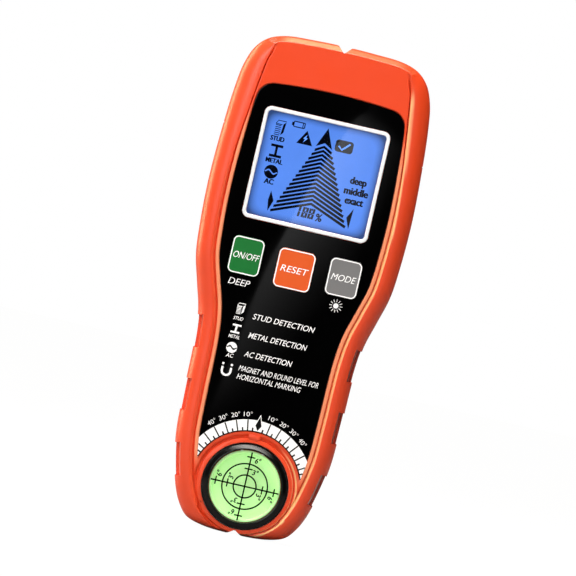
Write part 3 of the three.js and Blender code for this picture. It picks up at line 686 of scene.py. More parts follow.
ORANGE = (0.78, 0.060, 0.012)
LOOK = {
    # the orange's two paler tones are painted highlights, laid where the shell is marked for them
    "orange": surface("orange_abs", ORANGE, 0.36, spread=0.03, bump=0.02, grain=1800, shade_by=0.02,
                      painted_highlight=[(0.9, 0.31, 0.15), (1.0, 0.62, 0.25)]),
    "panel": surface("black_gloss_panel", (0.0006, 0.0006, 0.0007), 0.014, specular=0.3, spread=0.006,
                     mottle=25, bump=0.0),
    "white": surface("white_frame", (0.86, 0.88, 0.9), 0.3, bump=0.02, shade_by=0.015),
    # the white print's faint glow is painted light
    "print_white": surface("white_print", (0.93, 0.93, 0.93), 0.5, bump=0.02, glow=0.12, shade_by=0.02),
    "print_black": surface("black_print", (0.003, 0.003, 0.003), 0.5, specular=0.08, bump=0.02),
    "segment": surface("lcd_segment", (0.002, 0.003, 0.008), 0.5, bump=0.0, specular=0.02),
    "segment_dim": surface("lcd_segment_dim", (0.035, 0.04, 0.05), 0.4, bump=0.0, specular=0.05),
    "black": surface("black_moulding", (0.006, 0.006, 0.006), 0.42, bump=0.08),
    "bezel": surface("black_bezel", (0.0015, 0.0015, 0.0015), 0.22, spread=0.03, bump=0.02, grain=2000, specular=0.22),
    "green_key": surface("green_key_cap", (0.008, 0.165, 0.03), 0.42, bump=0.05, specular=0.25),
    "orange_key": surface("orange_key_cap", (0.74, 0.105, 0.018), 0.42, bump=0.05, specular=0.25),
    "grey_key": surface("grey_key_cap", (0.19, 0.19, 0.193), 0.42, bump=0.05, specular=0.25),
    # the vial's glow is painted light, keeping its green evenly bright down in its cup
    "vial": surface("vial_green", (0.6, 0.95, 0.46), 0.3, bump=0.0, glow=0.37, scatter=0.2),
    "vial_print": surface("vial_print", (0.004, 0.02, 0.003), 0.5, specular=0.08, bump=0.0),
    "bubble": clear("air_bubble", (1.0, 1.0, 1.0), gloss=0.7, roughness=0.1),
    "window": clear("clear_window", (0.97, 0.98, 1.0), gloss=2.2, roughness=0.01),
    "lens": clear("clear_lens", (0.97, 1.0, 0.95), gloss=1.0, roughness=0.03),
    "steel": surface("zinc_steel", (0.55, 0.56, 0.58), 0.3, metallic=1.0, bump=0.1, grain=1500),
    "copper": surface("bare_copper", (0.72, 0.32, 0.14), 0.28, metallic=1.0, bump=0.1, grain=900),
    "rubber": surface("dark_rubber", (0.022, 0.021, 0.02), 0.75, bump=0.3, grain=1800),
    "nylon": surface("natural_nylon", (0.6, 0.58, 0.5), 0.5, bump=0.05, scatter=0.1),
    "milky": surface("light_guide", (0.7, 0.78, 0.88), 0.4, bump=0.02, scatter=0.2),
    "red": surface("red_insulation", (0.5, 0.015, 0.015), 0.4, bump=0.05),
    "can": surface("battery_can", (0.33, 0.34, 0.36), 0.25, metallic=0.8, bump=0.04),
    "board": circuit_board("circuit_board"),
    "display": display_blue(),
}


# ------------------------------------------------------------------ shells

def bumper_room():
    """How much of the bumper's width fits between the edge and the dial, at each point of the outline."""
    reach = np.hypot(EDGE[:, 0], EDGE[:, 1] - DIAL_Y)
    return np.clip((reach - COLLAR + 0.3) / BUMPER_WIDTH, 0.28, 1.0)


def plateau_edge():
    """For each outline point, where its bumper meets the plateau, and how much it is bumper (1) or chamfer (0).

    Along the sides the plateau's edge keeps the bumper's width. Near the head it runs straight on to a corner,
    and along the head it stays one chamfer's width inside the edge.
    """
    targets = EDGE - OUT * (BUMPER_WIDTH * bumper_room())[:, None]
    share = np.ones(len(EDGE))
    lengths = np.hypot(*(np.roll(EDGE, -1, axis=0) - EDGE).T)
    along = np.concatenate([[0], np.cumsum(lengths)[:-1]])
    from_top = np.minimum(along, lengths.sum() - along)
    side = np.where(EDGE[:, 0] < 0, -1.0, 1.0)
    lean = np.polyfit([50, 60.5, 68.1, 74.8, 84.6], [29.5, 28.45, 27.65, 26.65, 25.25], 2)
    straight = (targets[:, 1] > 40) & (from_top > CORNER_END)
    blend = smooth(targets[straight, 1], 40, 60)
    own = np.abs(targets[straight, 0])
    targets[straight, 0] = side[straight] * (own + (np.polyval(lean, targets[straight, 1]) - own) * blend)
    low = np.interp(CORNER_END, np.sort(from_top), targets[np.argsort(from_top), 1])
    chamfered = EDGE - OUT * CHAMFER
    for k in np.nonzero(from_top <= CORNER_END)[0]:
        if from_top[k] <= CORNER_START:
            targets[k], share[k] = chamfered[k], 0.0
            continue
        t = (CORNER_END - from_top[k]) / (CORNER_END - CORNER_START)
        share[k] = 1 - smooth(t, 0.5, 0.97)
        bend = 0.86
        if t < bend:
            y = low + (CORNER[1] - low) * t / bend
            targets[k] = side[k] * np.polyval(lean, y), y
        else:
            start = np.array([side[k] * CORNER[0], CORNER[1]])
            end = np.array([side[k] * CORNER_TOP[0], CORNER_TOP[1]])
            targets[k] = start + (end - start) * (t - bend) / (1 - bend)
    return targets, share


def smooth(value, start, end):
    t = np.clip((value - start) / (end - start), 0, 1)
    return t * t * (3 - 2 * t)


CHAMFER = 2.3
CORNER_START, CORNER_END = 25.6, 49.0
CORNER = (25.3, 85.1)
CORNER_TOP = (24.3, 85.75)


CREASE = 5.6
PART_EDGE = [(0.2, PART_LINE + 0.01), (0.0, PART_LINE + 0.18)]


def side_section():
    """(inset, level) over the rounded bumper, down into the crease and up onto the plateau's narrow ridge."""
    angles = np.linspace(0, math.pi / 2, 15)
    curve = [(CREASE * (1 - math.cos(a)), 21.4 + 7.8 * math.sin(a)) for a in angles]
    crease = [(5.85, 29.13), (6.02, 28.97), (6.3, 28.68), (6.6, 28.36), (6.76, 28.2), (6.86, 28.16), (6.94, 28.3),
              (7.06, 28.9), (7.14, 29.14), (7.26, 29.29), (BUMPER_WIDTH, 29.36)]
    ridge = [(7.65, PLATEAU), (8.0, PLATEAU), (8.35, PLATEAU)]
    return [*PART_EDGE, *curve, *crease, *ridge]


def side_reach(inset_at, width):
    """Where a step of the side section lies when the bumper is wider or narrower than usual.

    The crease keeps its width where the bumper is wide, shrinks with it where it is narrow and thins out to a
    line towards the head.
    """
    scale = np.minimum(width / BUMPER_WIDTH, 1.0) * (1 - 0.6 * smooth(EDGE[:, 1], 10, 62))
    crease = (BUMPER_WIDTH - CREASE) * scale
    if inset_at <= CREASE:
        return inset_at / CREASE * (width - crease)
    return width - (BUMPER_WIDTH - inset_at) * scale


def head_section(count):
    """The same number of steps over the head's edge: a tight round, a flat chamfer, then the plateau."""
    angles = np.linspace(0, math.pi / 4, 7)
    curve = [(1.3 * (1 - math.cos(a)), 25.4 + 2.2 * math.sin(a)) for a in angles]
    start = curve[-1]
    end = (CHAMFER - 0.12, PLATEAU - 0.06)
    chamfer = [(start[0] + (end[0] - start[0]) * k / 5, start[1] + (end[1] - start[1]) * k / 5) for k in range(1, 6)]
    steps = [*PART_EDGE, *curve, *chamfer, (CHAMFER, PLATEAU)]
    left = count - len(steps)
    steps += [(CHAMFER + 0.9 * k / left, PLATEAU) for k in range(1, left + 1)]
    return steps


def front_hull():
    sides = side_section()
    head = head_section(len(sides))
    targets, share = plateau_edge()
    inwards = targets - EDGE
    width = np.linalg.norm(inwards, axis=1)
    inwards /= width[:, None]
    rings = []
    for (side_at, side_up), (head_at, head_up) in zip(sides, head):
        reach = head_at / CHAMFER * width * (1 - share) + side_reach(side_at, width) * share
        level = head_up + (side_up - head_up) * share
        rings.append(np.column_stack([EDGE + inwards * reach[:, None], level]))
    return loft(rings)


def bump(value, start, full, hold, end):
    """Rises from 0 at start to 1 at full, stays until hold and is back at 0 at end."""
    return smooth(value, start, full) * (1 - smooth(value, hold, end))


def mark_painted_highlights(hull):
    """Stores where pale highlights are painted on the shell.

    1 is the narrow ridge between the crease and the panel and the head's chamfer. 2 is the crease's outer edge on
    the right and the rims of the groove round the dial, on the dial's right-hand side.
    """
    line, _ = plateau_edge()
    along = np.roll(line, -1, axis=0) - np.roll(line, 1, axis=0)
    along /= np.maximum(np.linalg.norm(along, axis=1)[:, None], 1e-9)
    outwards = np.column_stack([along[:, 1], -along[:, 0]])
    places = np.array([v.co for v in hull.data.vertices]) / MM
    x, y, level = places[:, 0], places[:, 2] - HALF_LENGTH, REAR_Y / MM - places[:, 1]
    flat = np.column_stack([x, y])
    nearest = np.array([np.argmin(((line - point) ** 2).sum(axis=1)) for point in flat])
    beyond = ((flat - line[nearest]) * outwards[nearest]).sum(axis=1)
    left = x < 0
    # each mark below is a painted highlight, set where light from the upper left catches the shell
    ridge = bump(beyond, -1.8, -1.6, 0.1, 0.35) * bump(y, -70, -62, 50, 66) * (level > 28.85)
    crease = bump(beyond, 0.55, 0.75, 1.45, 1.65) * (level > 27.5) * bump(y, -86, -74, 74, 82)
    crease *= np.where(left, 0.22 * (1 - smooth(y, 30, 50)), 2.0)
    head = bump(beyond, 0.05, 0.2, 1.7, 1.95) * smooth(y, 83.5, 85.5) * (1 - smooth(np.abs(x), 19, 24)) * (level > 26.8)
    from_dial = np.hypot(x, y - DIAL_Y)
    side_on = smooth(x - 0.35 * (y - DIAL_Y), 2, 12)
    rims = (bump(from_dial, GROOVE - 0.6, GROOVE - 0.4, GROOVE + 0.12, GROOVE + 0.14) * 2.0
            + bump(from_dial, COLLAR - 0.12, COLLAR - 0.05, COLLAR + 0.1, COLLAR + 0.14) * 1.4)
    rims *= side_on * (level < PLATEAU - 0.02) * (level > 27.5)
    attribute = hull.data.attributes.new("painted_highlight", "FLOAT", "POINT")
    attribute.data.foreach_set("value", np.maximum.reduce([ridge, crease, head * np.where(left, 0.7, 0.3), rims]))


def mark(obj, name, value):
    """Gives every face of obj the same mark, which carving carries over to the faces it leaves."""
    attribute = obj.data.attributes.new(name, "FLOAT", "FACE")
    attribute.data.foreach_set("value", [value] * len(obj.data.polygons))
    return obj


def carve_grips_with_painted_shade(hull):
    """Cuts the right-hand grips and paints shade into them, a dark tone on their faces. The lower walls stay unpainted.
    """
    grips = new_object("grips", merged([grip_recess(1, y, front_grip_section()) for y in GRIP_ROWS]))
    # the grips' cutter carries the painted shade onto the faces it leaves in the shell
    carve(mark(hull, "painted_grip_shade", 0.0), mark(grips, "painted_grip_shade", GRIP_PAINTED_SHADE))
    values = [painted_shade.value * (face.normal.z < 0.5)
              for painted_shade, face in zip(hull.data.attributes["painted_grip_shade"].data, hull.data.polygons)]
    hull.data.attributes["painted_grip_shade"].data.foreach_set("value", values)


def plain_loft(section):
    return loft([at_level(EDGE - OUT * t, z) for t, z in section])


def wedge(edge, depth):
    """V notch through an edge, with slightly rounded shoulders."""
    out = math.copysign(1, edge)
    points = [(-4.2, edge + out * 1.5), (-3.2, edge + out * 0.02), (-2.35, edge - out * 0.25), (-0.25, edge - out * depth),
              (0.25, edge - out * depth), (2.35, edge - out * 0.25), (3.2, edge + out * 0.02), (4.2, edge + out * 1.5)]
    return prism(points if out < 0 else points[::-1], -1, 33)


def side_notch(side):
    """Small marking notch in a side."""
    y = 54.0
    near = EDGE[(EDGE[:, 0] * side > 0) & (np.abs(EDGE[:, 1] - y) < 3)]
    x = np.abs(near[:, 0]).mean()
    points = [(x - 0.5, y), (x + 2, y - 1.6), (x + 2, y + 1.6)]
    if side < 0:
        points = [(-px, py) for px, py in points][::-1]
    return prism(points, -1, 33)


def grip_recess(side, centre, low_section):
    """A shallow finger recess that follows the edge."""
    near = (EDGE[:, 0] * side > 0) & (np.abs(EDGE[:, 1] - centre) < GRIP_LENGTH / 2)
    path, normals = EDGE[near], OUT[near]
    section = [(-2.0, low_section[0][1]), *low_section, (-2.0, low_section[-1][1])]
    return sweep(path, normals, section)


def front_grip_section():
    """A narrow ledge half-way up the side, with a steep wall above it that ends on the bumper's round."""
    return [(GRIP_DEPTH, PART_LINE - 1), (GRIP_DEPTH, 16.0), (1.5, 16.6), (1.7, 23.5), (2.2, 27.9)]


def rear_grip_section():
    return [(GRIP_DEPTH + 0.3, 4.2), (GRIP_DEPTH, 6.0), (GRIP_DEPTH, PART_LINE + 1)]


def chamfered_well(outline, floor, top, chamfer=0.25):
    """Cutter for a pocket whose mouth has a small chamfer."""
    rings = [at_level(outline, floor), at_level(outline, top - chamfer),
             at_level(inset(outline, -chamfer), top), at_level(inset(outline, -chamfer - 1.0), top + 1.0)]
    return loft(rings)


def arrow_points(x0, x1, half, cy):
    tip = x1 - half
    return [(x0, cy - half * 0.62), (tip, cy - half * 0.62), (tip, cy - half), (x1, cy), (tip, cy + half),
            (tip, cy + half * 0.62), (x0, cy + half * 0.62)]


def groove_cutter():
    """Ring groove round the dial with sloped walls."""
    floor = PLATEAU - 0.9
    profile = [(COLLAR - 0.15, PLATEAU + 1), (COLLAR - 0.1, PLATEAU), (COLLAR, PLATEAU - 0.04),
               (COLLAR + 0.1, PLATEAU - 0.2), (COLLAR + 0.2, floor + 0.2), (COLLAR + 0.4, floor),
               (GROOVE - 0.6, floor + 0.1), (GROOVE - 0.35, PLATEAU - 0.45), (GROOVE, PLATEAU - 0.12),
               (GROOVE + 0.11, PLATEAU - 0.04), (GROOVE + 0.2, PLATEAU), (GROOVE + 0.25, PLATEAU + 1)]
    return lathe(profile[::-1], 0, DIAL_Y, 144)


def front_shell():
    hull = new_object("front_shell_fine", front_hull())
    collar = [(10, CEILING), (COLLAR, CEILING), (COLLAR, PLATEAU - 0.15), (COLLAR - 0.15, PLATEAU), (10, PLATEAU)]
    carve(hull, lathe(collar, 0, DIAL_Y, 144), "UNION")
    carve(hull, groove_cutter())
    carve(hull, prism(arrow_points(-2.6, 1.9, 1.25, DIAL_Y + 17.9), CEILING, PLATEAU + 0.12, 0, 0.1, 2), "UNION")
    carve(hull, plain_loft([(2.2, PART_LINE - 2), (2.2, 23.6), (4.3, CEILING)]))
    carve(hull, box(*NOTCH_BACKING, PART_LINE + 0.01, CEILING + 0.5), "UNION")
    low, high = flat_box("display_window")
    lcd = prism(rounded(0, DISPLAY_Y, 44.0, 38.7, 0.6), CEILING - 2, PLATEAU)
    keys = [prism(rounded(*middle(f"{k}_key")[:2], *key_size(k, 0.6), 2.3), CEILING - 2, PLATEAU) for k in KEYS]
    carve(hull, merged([lcd, *keys]))
    well = new_object("well", chamfered_well(inset(panel_outline(), -0.22), PANEL_SEAT, PLATEAU))
    carve(hull, carve(well, prism(circle(0, DIAL_Y, PANEL_ARC - 0.22, 144), PANEL_SEAT - 1, PLATEAU + 2)))
    carve(hull, merged([
        prism(circle(0, DIAL_Y, 15.8, 144), CEILING - 4, BEZEL_TOP),
        wedge(HALF_LENGTH, 2.5), wedge(-HALF_LENGTH, 1.7),
        side_notch(-1), side_notch(1),
        *[grip_recess(-1, y, front_grip_section()) for y in GRIP_ROWS],
    ]))
    carve_grips_with_painted_shade(hull)
    mark_painted_highlights(hull)
    return piece("front_shell_fine", hull, "case", LOOK["orange"], ["front_shell"], flat=False)


def rear_shell():
    angles = np.linspace(0, math.pi / 2, 11)
    curve = [(4.4 * (1 - math.sin(a)), BACK + 6.0 * (1 - math.cos(a))) for a in angles]
    hull = new_object("rear_shell_fine", plain_loft([(4.9, BACK), *curve, (0.0, PART_LINE - 0.17), (0.2, PART_LINE)]))
    carve(hull, plain_loft([(4.8, BACK + 2), (3.2, 4.2), (2.2, 7), (2.2, PART_LINE + 1)]))
    carve(hull, box(*NOTCH_BACKING, BACK + 1, PART_LINE), "UNION")
    bay = (-15.4, 15.4, -59.7, -1.3, BACK + 1.5, 22.4)
    carve(hull, box(*bay), "UNION")
    carve(hull, box(-14, 14, -58.3, -2.7, -1, 21))
    bosses = [prism(circle(x, y, 4.2, 40), BACK + 0.9, 15) for x, y in SCREWS]
    carve(hull, merged(bosses), "UNION")
    door = rounded(0, (-60.3 - 0.35) / 2, 30.6, 59.95, 0.8)
    carve(hull, chamfer_rear(door, BACK + 2.0))
    carve(hull, merged([
        *[chamfer_rear(circle(x, y, 2.9, 40), 4.6) for x, y in SCREWS],
        *[chamfer_rear(rounded(*middle(n)[:2], 5.0, np.ptp([b[1] for b in flat_box(n)]) + 0.6, 2.48), BACK + 0.6) for n in PADS],
        wedge(HALF_LENGTH, 2.5), wedge(-HALF_LENGTH, 1.7), side_notch(-1), side_notch(1),
        *[grip_recess(side, y, rear_grip_section()) for side in (-1, 1) for y in GRIP_ROWS],
    ]))
    carve(hull, merged([prism(circle(x, y, 1.55, 24), 0, 17) for x, y in SCREWS]))
    hooks = [box(x - 2.7, x + 2.7, -3.7, 0.3, BACK + 2, BACK + 6) for x in (-8.5, 8.5)]
    carve(hull, merged([*hooks, box(-4.5, 4.5, -3.7, 0.3, 11, 15)]))
    return piece("rear_shell_fine", hull, "case", LOOK["orange"], ["rear_shell"], flat=False)


def chamfer_rear(outline, depth, chamfer=0.25):
    """Cutter for a pocket in the back, open to the rear, with a small chamfer at its mouth."""
    rings = [at_level(inset(outline, -chamfer - 1.0), BACK - 1.0), at_level(inset(outline, -chamfer), BACK),
             at_level(outline, BACK + chamfer), at_level(outline, depth)]
    return loft(rings)


# ------------------------------------------------------------------ panel, display, keys

KEYS = {"power": "green_key", "reset": "orange_key", "mode": "grey_key"}
LEGENDS = {"power": ("ON/OFF", 9.3), "reset": ("RESET", 9.7), "mode": ("MODE", 8.6)}
SCREWS = [tuple(middle(f"case_screw_{k}")[:2]) for k in range(1, 5)]
PADS = [f"glide_pad_{end}_{side}" for end in ("upper", "lower") for side in ("left", "right")]
SLANT = 0.2


def key_size(key, clearance=0.0):
    """Width and height of a key cap: its CAD box is widened by the hidden flange."""
    low, high = flat_box(f"{key}_key")
    return high[0] - low[0] - 1.6 + clearance, high[1] - low[1] - 1.6 + clearance


def front_panel():
    low, high = flat_box("front_panel")
    plate_obj = new_object("front_panel_fine", prism(panel_outline(), low[2], high[2], 0, 0.12, 2))
    frame_low, frame_high = flat_box("display_frame")
    size = frame_high - frame_low
    holes = [prism(rounded(0, DISPLAY_Y, size[0] + 0.3, size[1] + 0.3, 2.75), 25, 32),
             prism(circle(0, DIAL_Y, PANEL_ARC, 144), 25, 32)]
    for key in KEYS:
        holes.append(prism(rounded(*middle(f"{key}_key")[:2], *key_size(key, 0.16), 2.08), 25, 32))
    carve(plate_obj, merged(holes))
    return piece("front_panel_fine", plate_obj, "case", LOOK["panel"], ["front_panel"])


def display():
    low, high = flat_box("display_frame")
    size = high - low
    steps = 10
    outer = rounded(0, DISPLAY_Y, size[0], size[1], 2.6, steps)
    inner = rounded(0, DISPLAY_Y, 43.6, 38.3, 1.4, steps)
    count = len(outer)
    rings = [at_level(outer, low[2]), at_level(outer, high[2] - 0.2), at_level(inset(outer, 0.18), high[2]),
             at_level(inset(inner, -0.25), high[2]), at_level(inner, high[2] - 0.25), at_level(inner, low[2])]
    points, faces = np.vstack(rings), []
    for layer in range(len(rings)):
        here, there = layer * count, ((layer + 1) % len(rings)) * count
        faces += [(here + i, here + (i + 1) % count, there + (i + 1) % count, there + i) for i in range(count)]
    piece("display_frame_fine", (points, faces), "case", LOOK["white"], ["display_frame"])
    low, high = flat_box("display_window")
    window = prism(rounded(0, DISPLAY_Y, high[0] - low[0], high[1] - low[1], 0.5), low[2], high[2], 0.1, 0.15, 2)
    piece("display_window_fine", window, "case", LOOK["window"], ["display_window"])
    low, high = flat_box("lcd_glass")
    cx, cy = (low + high)[:2] / 2
    glass = prism(rounded(cx, cy, high[0] - low[0], high[1] - low[1], 0.4, 3), low[2], high[2], 0.08, 0.08, 1)
    piece("lcd_glass_fine", glass, "case", LOOK["display"], ["lcd_glass"])


def chevrons(level):
    """The big target arrow: a solid head over rows of chevron bars that widen towards the bottom."""
    apex = (0.6, 60.0)
    parts = [plate([apex, (-2.5, 52.8), (0.5, 54.5), (3.5, 52.7)], level)]
    rows, first, last = 15, 53.6, 32.6
    for k in range(rows):
        share = (k + 1) / rows
        top = first + (last - first) * k / (rows - 1)
        half_left, half_right = 2.4 + (13.9 - 2.4) * share, 2.5 + (13.85 - 2.5) * share
        drop = 1.5 + (5.45 - 1.5) * share
        bar = 0.93
        parts.append(plate([(0.56 - half_left, top - drop), (0.56, top), (0.56 + half_right, top - drop),
                            (0.56 + half_right - 0.25, top - drop - bar * 1.05), (0.56, top - bar),
                            (0.56 - half_left + 0.05, top - drop - bar * 1.05)], level))
    return merged(parts)


def warning_sign(level):
    triangle = [(-9.6, 52.4), (-3.8, 52.4), (-6.6, 57.5)]
    return plate(triangle, level)


def bolt(level):
    points = [(-6.3, 56.0), (-7.5, 54.4), (-6.8, 54.4), (-7.3, 53.0), (-5.8, 54.8), (-6.5, 54.8)]
    return plate(points, level)


def display_marks():
    level = GLASS_TOP + 0.03
    dark = [
        chevrons(level),
        stud_sign(-16.4, 56.3, 3.6, 5.2, level, 0.28),
        bold("STUD", -16.5, 51.5, level, 1.6, 5.0),
        beam_sign(-16.0, 47.9, 4.4, 4.7, level, 0.0),
        bold("METAL", -15.9, 43.5, level, 1.6, 6.1),
        wave_sign(-16.1, 40.2, 2.5, level, 0.55),
        bold("AC", -16.1, 35.8, level, 1.8, 3.4),
        warning_sign(level),
        plate([(-14.5, 33.6), (-12.9, 30.2), (-14.3, 26.2), (-14.9, 30.2)], level),
        plate([(15.9, 33.8), (14.0, 30.2), (15.5, 26.2), (15.7, 30.2)], level),
        stroke(rounded(-9.9, 58.9, 4.0, 1.9, 0.3, 3), 0.36, level, closed=True),
        plate([(-12.6, 58.3), (-12.0, 58.3), (-12.0, 59.5), (-12.6, 59.5)], level),
        plate([(-8.7, 58.0), (-8.4, 58.0), (-8.4, 59.8), (-8.7, 59.8)], level),
        bold("deep", 15.4, 42.5, level, 2.5, 5.9, 0.24),
        bold("middle", 15.4, 38.6, level, 2.5, 8.7, 0.24),
        bold("exact", 15.4, 35.2, level, 2.5, 6.6, 0.24),
        seven_segments(level),
        word("%", 3.0, 26.6, level, 2.6, 2.4, "left", 0.08, 0.03),
    ]
    piece("lcd_segments", merged(dark), "case", LOOK["segment"])
    badge = plate(rounded(7.55, 54.8, 6.5, 4.4, 1.1, 5), level)
    piece("lcd_tick_badge", badge, "case", LOOK["segment_dim"])
    light = [
        bolt(level + 0.05),
        stroke([(5.6, 54.7), (6.9, 53.5), (9.6, 56.1)], 0.6, level + 0.05),
    ]
    piece("lcd_light_marks", merged(light), "case", LOOK["display_light"])


def seven_segments(level):
    """A 1 and two 8s in seven-segment form."""
    parts = []
    height, width, line, slant = 3.9, 2.1, 0.78, 0.1
    for column, x in enumerate((-3.6, -2.2, 0.15)):
        segments = [(1, 0, 0.5), (1, 0.5, 1)] if column == 0 else [(0, 0, 0.5), (0, 0.5, 1), (1, 0, 0.5), (1, 0.5, 1)]
        x0 = x - (width - line) if column == 0 else x
        for side, start, end in segments:
            cx = x0 + side * (width - line) + line / 2
            y0, y1 = 26.7 + height * start + 0.08, 26.7 + height * end - 0.08
            parts.append(bar(cx - line / 2, cx + line / 2, y0, y1, slant, 26.7, level))
        if column:
            for share in (0, 0.5, 1):
                cy = 26.7 + line / 2 + (height - line) * share
                parts.append(bar(x + line + 0.06, x + width - line - 0.06, cy - line / 2, cy + line / 2, slant, 26.7, level))
    return merged(parts)


def bar(x0, x1, y0, y1, slant, base, level):
    points = [(x0, y0), (x1, y0), (x1, y1), (x0, y1)]
    return plate([(x + slant * (y - base), y) for x, y in points], level)


def keys():
    for key, look in KEYS.items():
        low, high = flat_box(f"{key}_key")
        cx, cy = middle(f"{key}_key")[:2]
        width, height = key_size(key)
        cap_outline = rounded(cx, cy, width, height, 2.0, 8)
        cap = prism(cap_outline, CEILING - 0.9, high[2], 0, 0.22, 3)
        flange = prism(rounded(cx, cy, width + 1.6, height + 1.6, 2.4, 8), low[2], CEILING - GAP)
        body = carve(new_object(f"{key}_key_fine", cap), flange, "UNION")
        piece(f"{key}_key_fine", body, f"{key}_key", LOOK[look], [f"{key}_key"])
        outline = frame_ring(inset(cap_outline, 0.1), inset(cap_outline, 0.52), high[2], high[2] + PRINT)
        text, text_width = LEGENDS[key]
        legend = word(text, cx - 0.2, cy - 1.2, high[2], 2.3, text_width, "centre", SLANT, 0.0)
        piece(f"{key}_key_legend", merged([outline, legend]), f"{key}_key", LOOK["print_white"])


# ------------------------------------------------------------------ printing on the panel

def scale_band():
    outer = arc(0, DIAL_Y, 24.1, 90 - 56, 90 + 56, 60)
    inner = arc(0, DIAL_Y, PANEL_ARC + 0.12, 90 + 71, 90 - 71, 60)
    return plate(np.vstack([outer, inner]), PANEL_TOP)


def spoke(angle, start, end, width, level):
    """A short line along a radius of the dial; the angle is counted clockwise from the head, in degrees."""
    a = math.radians(angle)
    s, c = math.sin(a), math.cos(a)
    return stroke([(start * s, DIAL_Y + start * c), (end * s, DIAL_Y + end * c)], width, level)


def panel_printing():
    level = PANEL_TOP
    rows = [("STUD DETECTION", -12.9, 22.4), ("METAL DETECTION", -19.8, 21.1), ("AC DETECTION", -26.6, 17.2)]
    signs = [
        scale_band(),
        word("DEEP", -18.5, -2.2, level, 2.3, 7.6, "centre", SLANT, 0.0),
        sun_sign(17.4, -1.6, 0.95, 2.4, level, 0.2),
        stud_sign(-15.6, -10.2, 2.9, 3.8, level, 0.24),
        word("STUD", -15.8, -14.4, level, 1.2, 3.5, "centre", SLANT, 0.01),
        beam_sign(-15.7, -17.6, 3.2, 3.3, level, 0.1),
        word("METAL", -15.8, -21.1, level, 1.2, 4.0, "centre", SLANT, 0.01),
        wave_sign(-15.7, -24.5, 1.95, level, 0.66),
        word("AC", -15.9, -28.1, level, 1.4, 2.6, "centre", SLANT, 0.01),
        magnet_sign(-15.8, -32.6, 3.9, 4.8, level, 0.75),
        word("MAGNET AND ROUND LEVEL FOR", -11.6, -32.0, level, 1.95, 29.2, "left", SLANT, 0.0),
        word("HORIZONTAL MARKING", -11.6, -35.0, level, 1.95, 23.2, "left", SLANT, 0.0),
    ]
    signs += [word(text, -10.8, y, level, 2.0, width, "left", SLANT, 0.004) for text, y, width in rows]
    for side in (-1, 1):
        for step in (10, 20, 30, 40):
            a = math.radians(side * step)
            x, y = 25.2 * math.sin(a), DIAL_Y + 25.2 * math.cos(a)
            signs.append(word(f"{step}°", x, y, level, 1.6, 3.2, "centre", 0.0, -0.006, -side * step))
    piece("panel_printing", merged(signs), "case", LOOK["print_white"])

    level += PRINT
    marks = [spoke(angle, PANEL_ARC + 0.15, 24.05, 0.46, level) for angle in range(-50, 51, 10) if angle]
    marks += [spoke(side * 60, PANEL_ARC + 0.15, 22.6, 0.46, level) for side in (-1, 1)]
    marks += [spoke(side * 70, PANEL_ARC + 0.15, 20.4, 0.4, level) for side in (-1, 1)]
    for angle in range(-70, 71, 5):
        if angle % 10:
            marks.append(spoke(angle, PANEL_ARC + 0.15, 21.3, 0.55, level))
    marks.append(stroke(arc(0, DIAL_Y, PANEL_ARC + 0.2, 90 + 70, 90 - 70, 60), 0.2, level))
    marks.append(diamond(0.0, level))
    piece("scale_marks", merged(marks), "case", LOOK["print_black"])
    outline = merged([frame_ring(*[d for d in (diamond_points(0.32), diamond_points(0.02))], level, level + 2 * PRINT)])
    piece("pointer_outline", outline, "case", LOOK["print_white"])


def diamond_points(grow):
    top, bottom, wide = -45.9 - 0.5 + grow, -51.9 + 0.2 - grow, -49.9
    return np.array([(0, bottom), (1.1 + grow, wide), (0, top + grow), (-1.1 - grow, wide)])


def diamond(grow, level):
    return plate(diamond_points(grow), level, 2 * PRINT)


# ------------------------------------------------------------------ round level

def knurled_bezel():
    teeth, root, tip = 144, 15.08, 15.5
    low = PLATEAU + GAP
    ring = []
    for k in range(teeth * 4):
        phase = (k % 4) / 4
        radius = tip if phase in (0.25, 0.5) else root
        a = 2 * math.pi * k / (teeth * 4)
        ring.append((math.cos(a) * radius, DIAL_Y + math.sin(a) * radius))
    ring = np.array(ring)
    flat = circle(0, DIAL_Y, 1.0, len(ring))
    centre = np.array([0, DIAL_Y])

    def scaled(radius):
        return (flat - centre) * radius + centre

    rings = [at_level(scaled(15.5), 25.0), at_level(scaled(15.5), low - 0.05), at_level(ring, low + 0.02),
             at_level(ring, BEZEL_TOP - 1.2), at_level(scaled(15.0), BEZEL_TOP - 1.1),
             at_level(scaled(13.7), BEZEL_TOP - 0.05), at_level(scaled(13.5), BEZEL_TOP),
             at_level(scaled(13.3), BEZEL_TOP - 0.08), at_level(scaled(13.15), BEZEL_TOP - 0.3),
             at_level(scaled(13.15), 25.0)]
    count = len(ring)
    points, faces = np.vstack(rings), []
    for layer in range(len(rings)):
        here, there = layer * count, ((layer + 1) % len(rings)) * count
        faces += [(here + i, here + (i + 1) % count, there + (i + 1) % count, there + i) for i in range(count)]
    return points, faces


def vial_print(level):
    parts = [ring_sign(0, DIAL_Y, 4.1, 0.56, level), ring_sign(0, DIAL_Y, 8.2, 0.56, level)]
    for quarter in range(4):
        turn = 90 * quarter
        parts.append(spoke(turn, 0.0 if quarter % 2 else 0.01, 12.5, 0.56, level))
        a = math.radians(turn)
        s, c = math.sin(a), math.cos(a)
        for radius, label in ((6.4, "3°"), (10.7, "6°")):
            x, y = radius * s, DIAL_Y + radius * c
            parts.append(stroke([(x - 1.5 * c, y + 1.5 * s), (x + 1.5 * c, y - 1.5 * s)], 0.52, level))
            tx, ty = x + 1.5 * c - 1.75 * s, y - 1.5 * s - 1.75 * c
            parts.append(word(label, tx, ty, level, 1.75, 2.1, "left", 0.15, 0.03, -turn))
    return merged(parts)


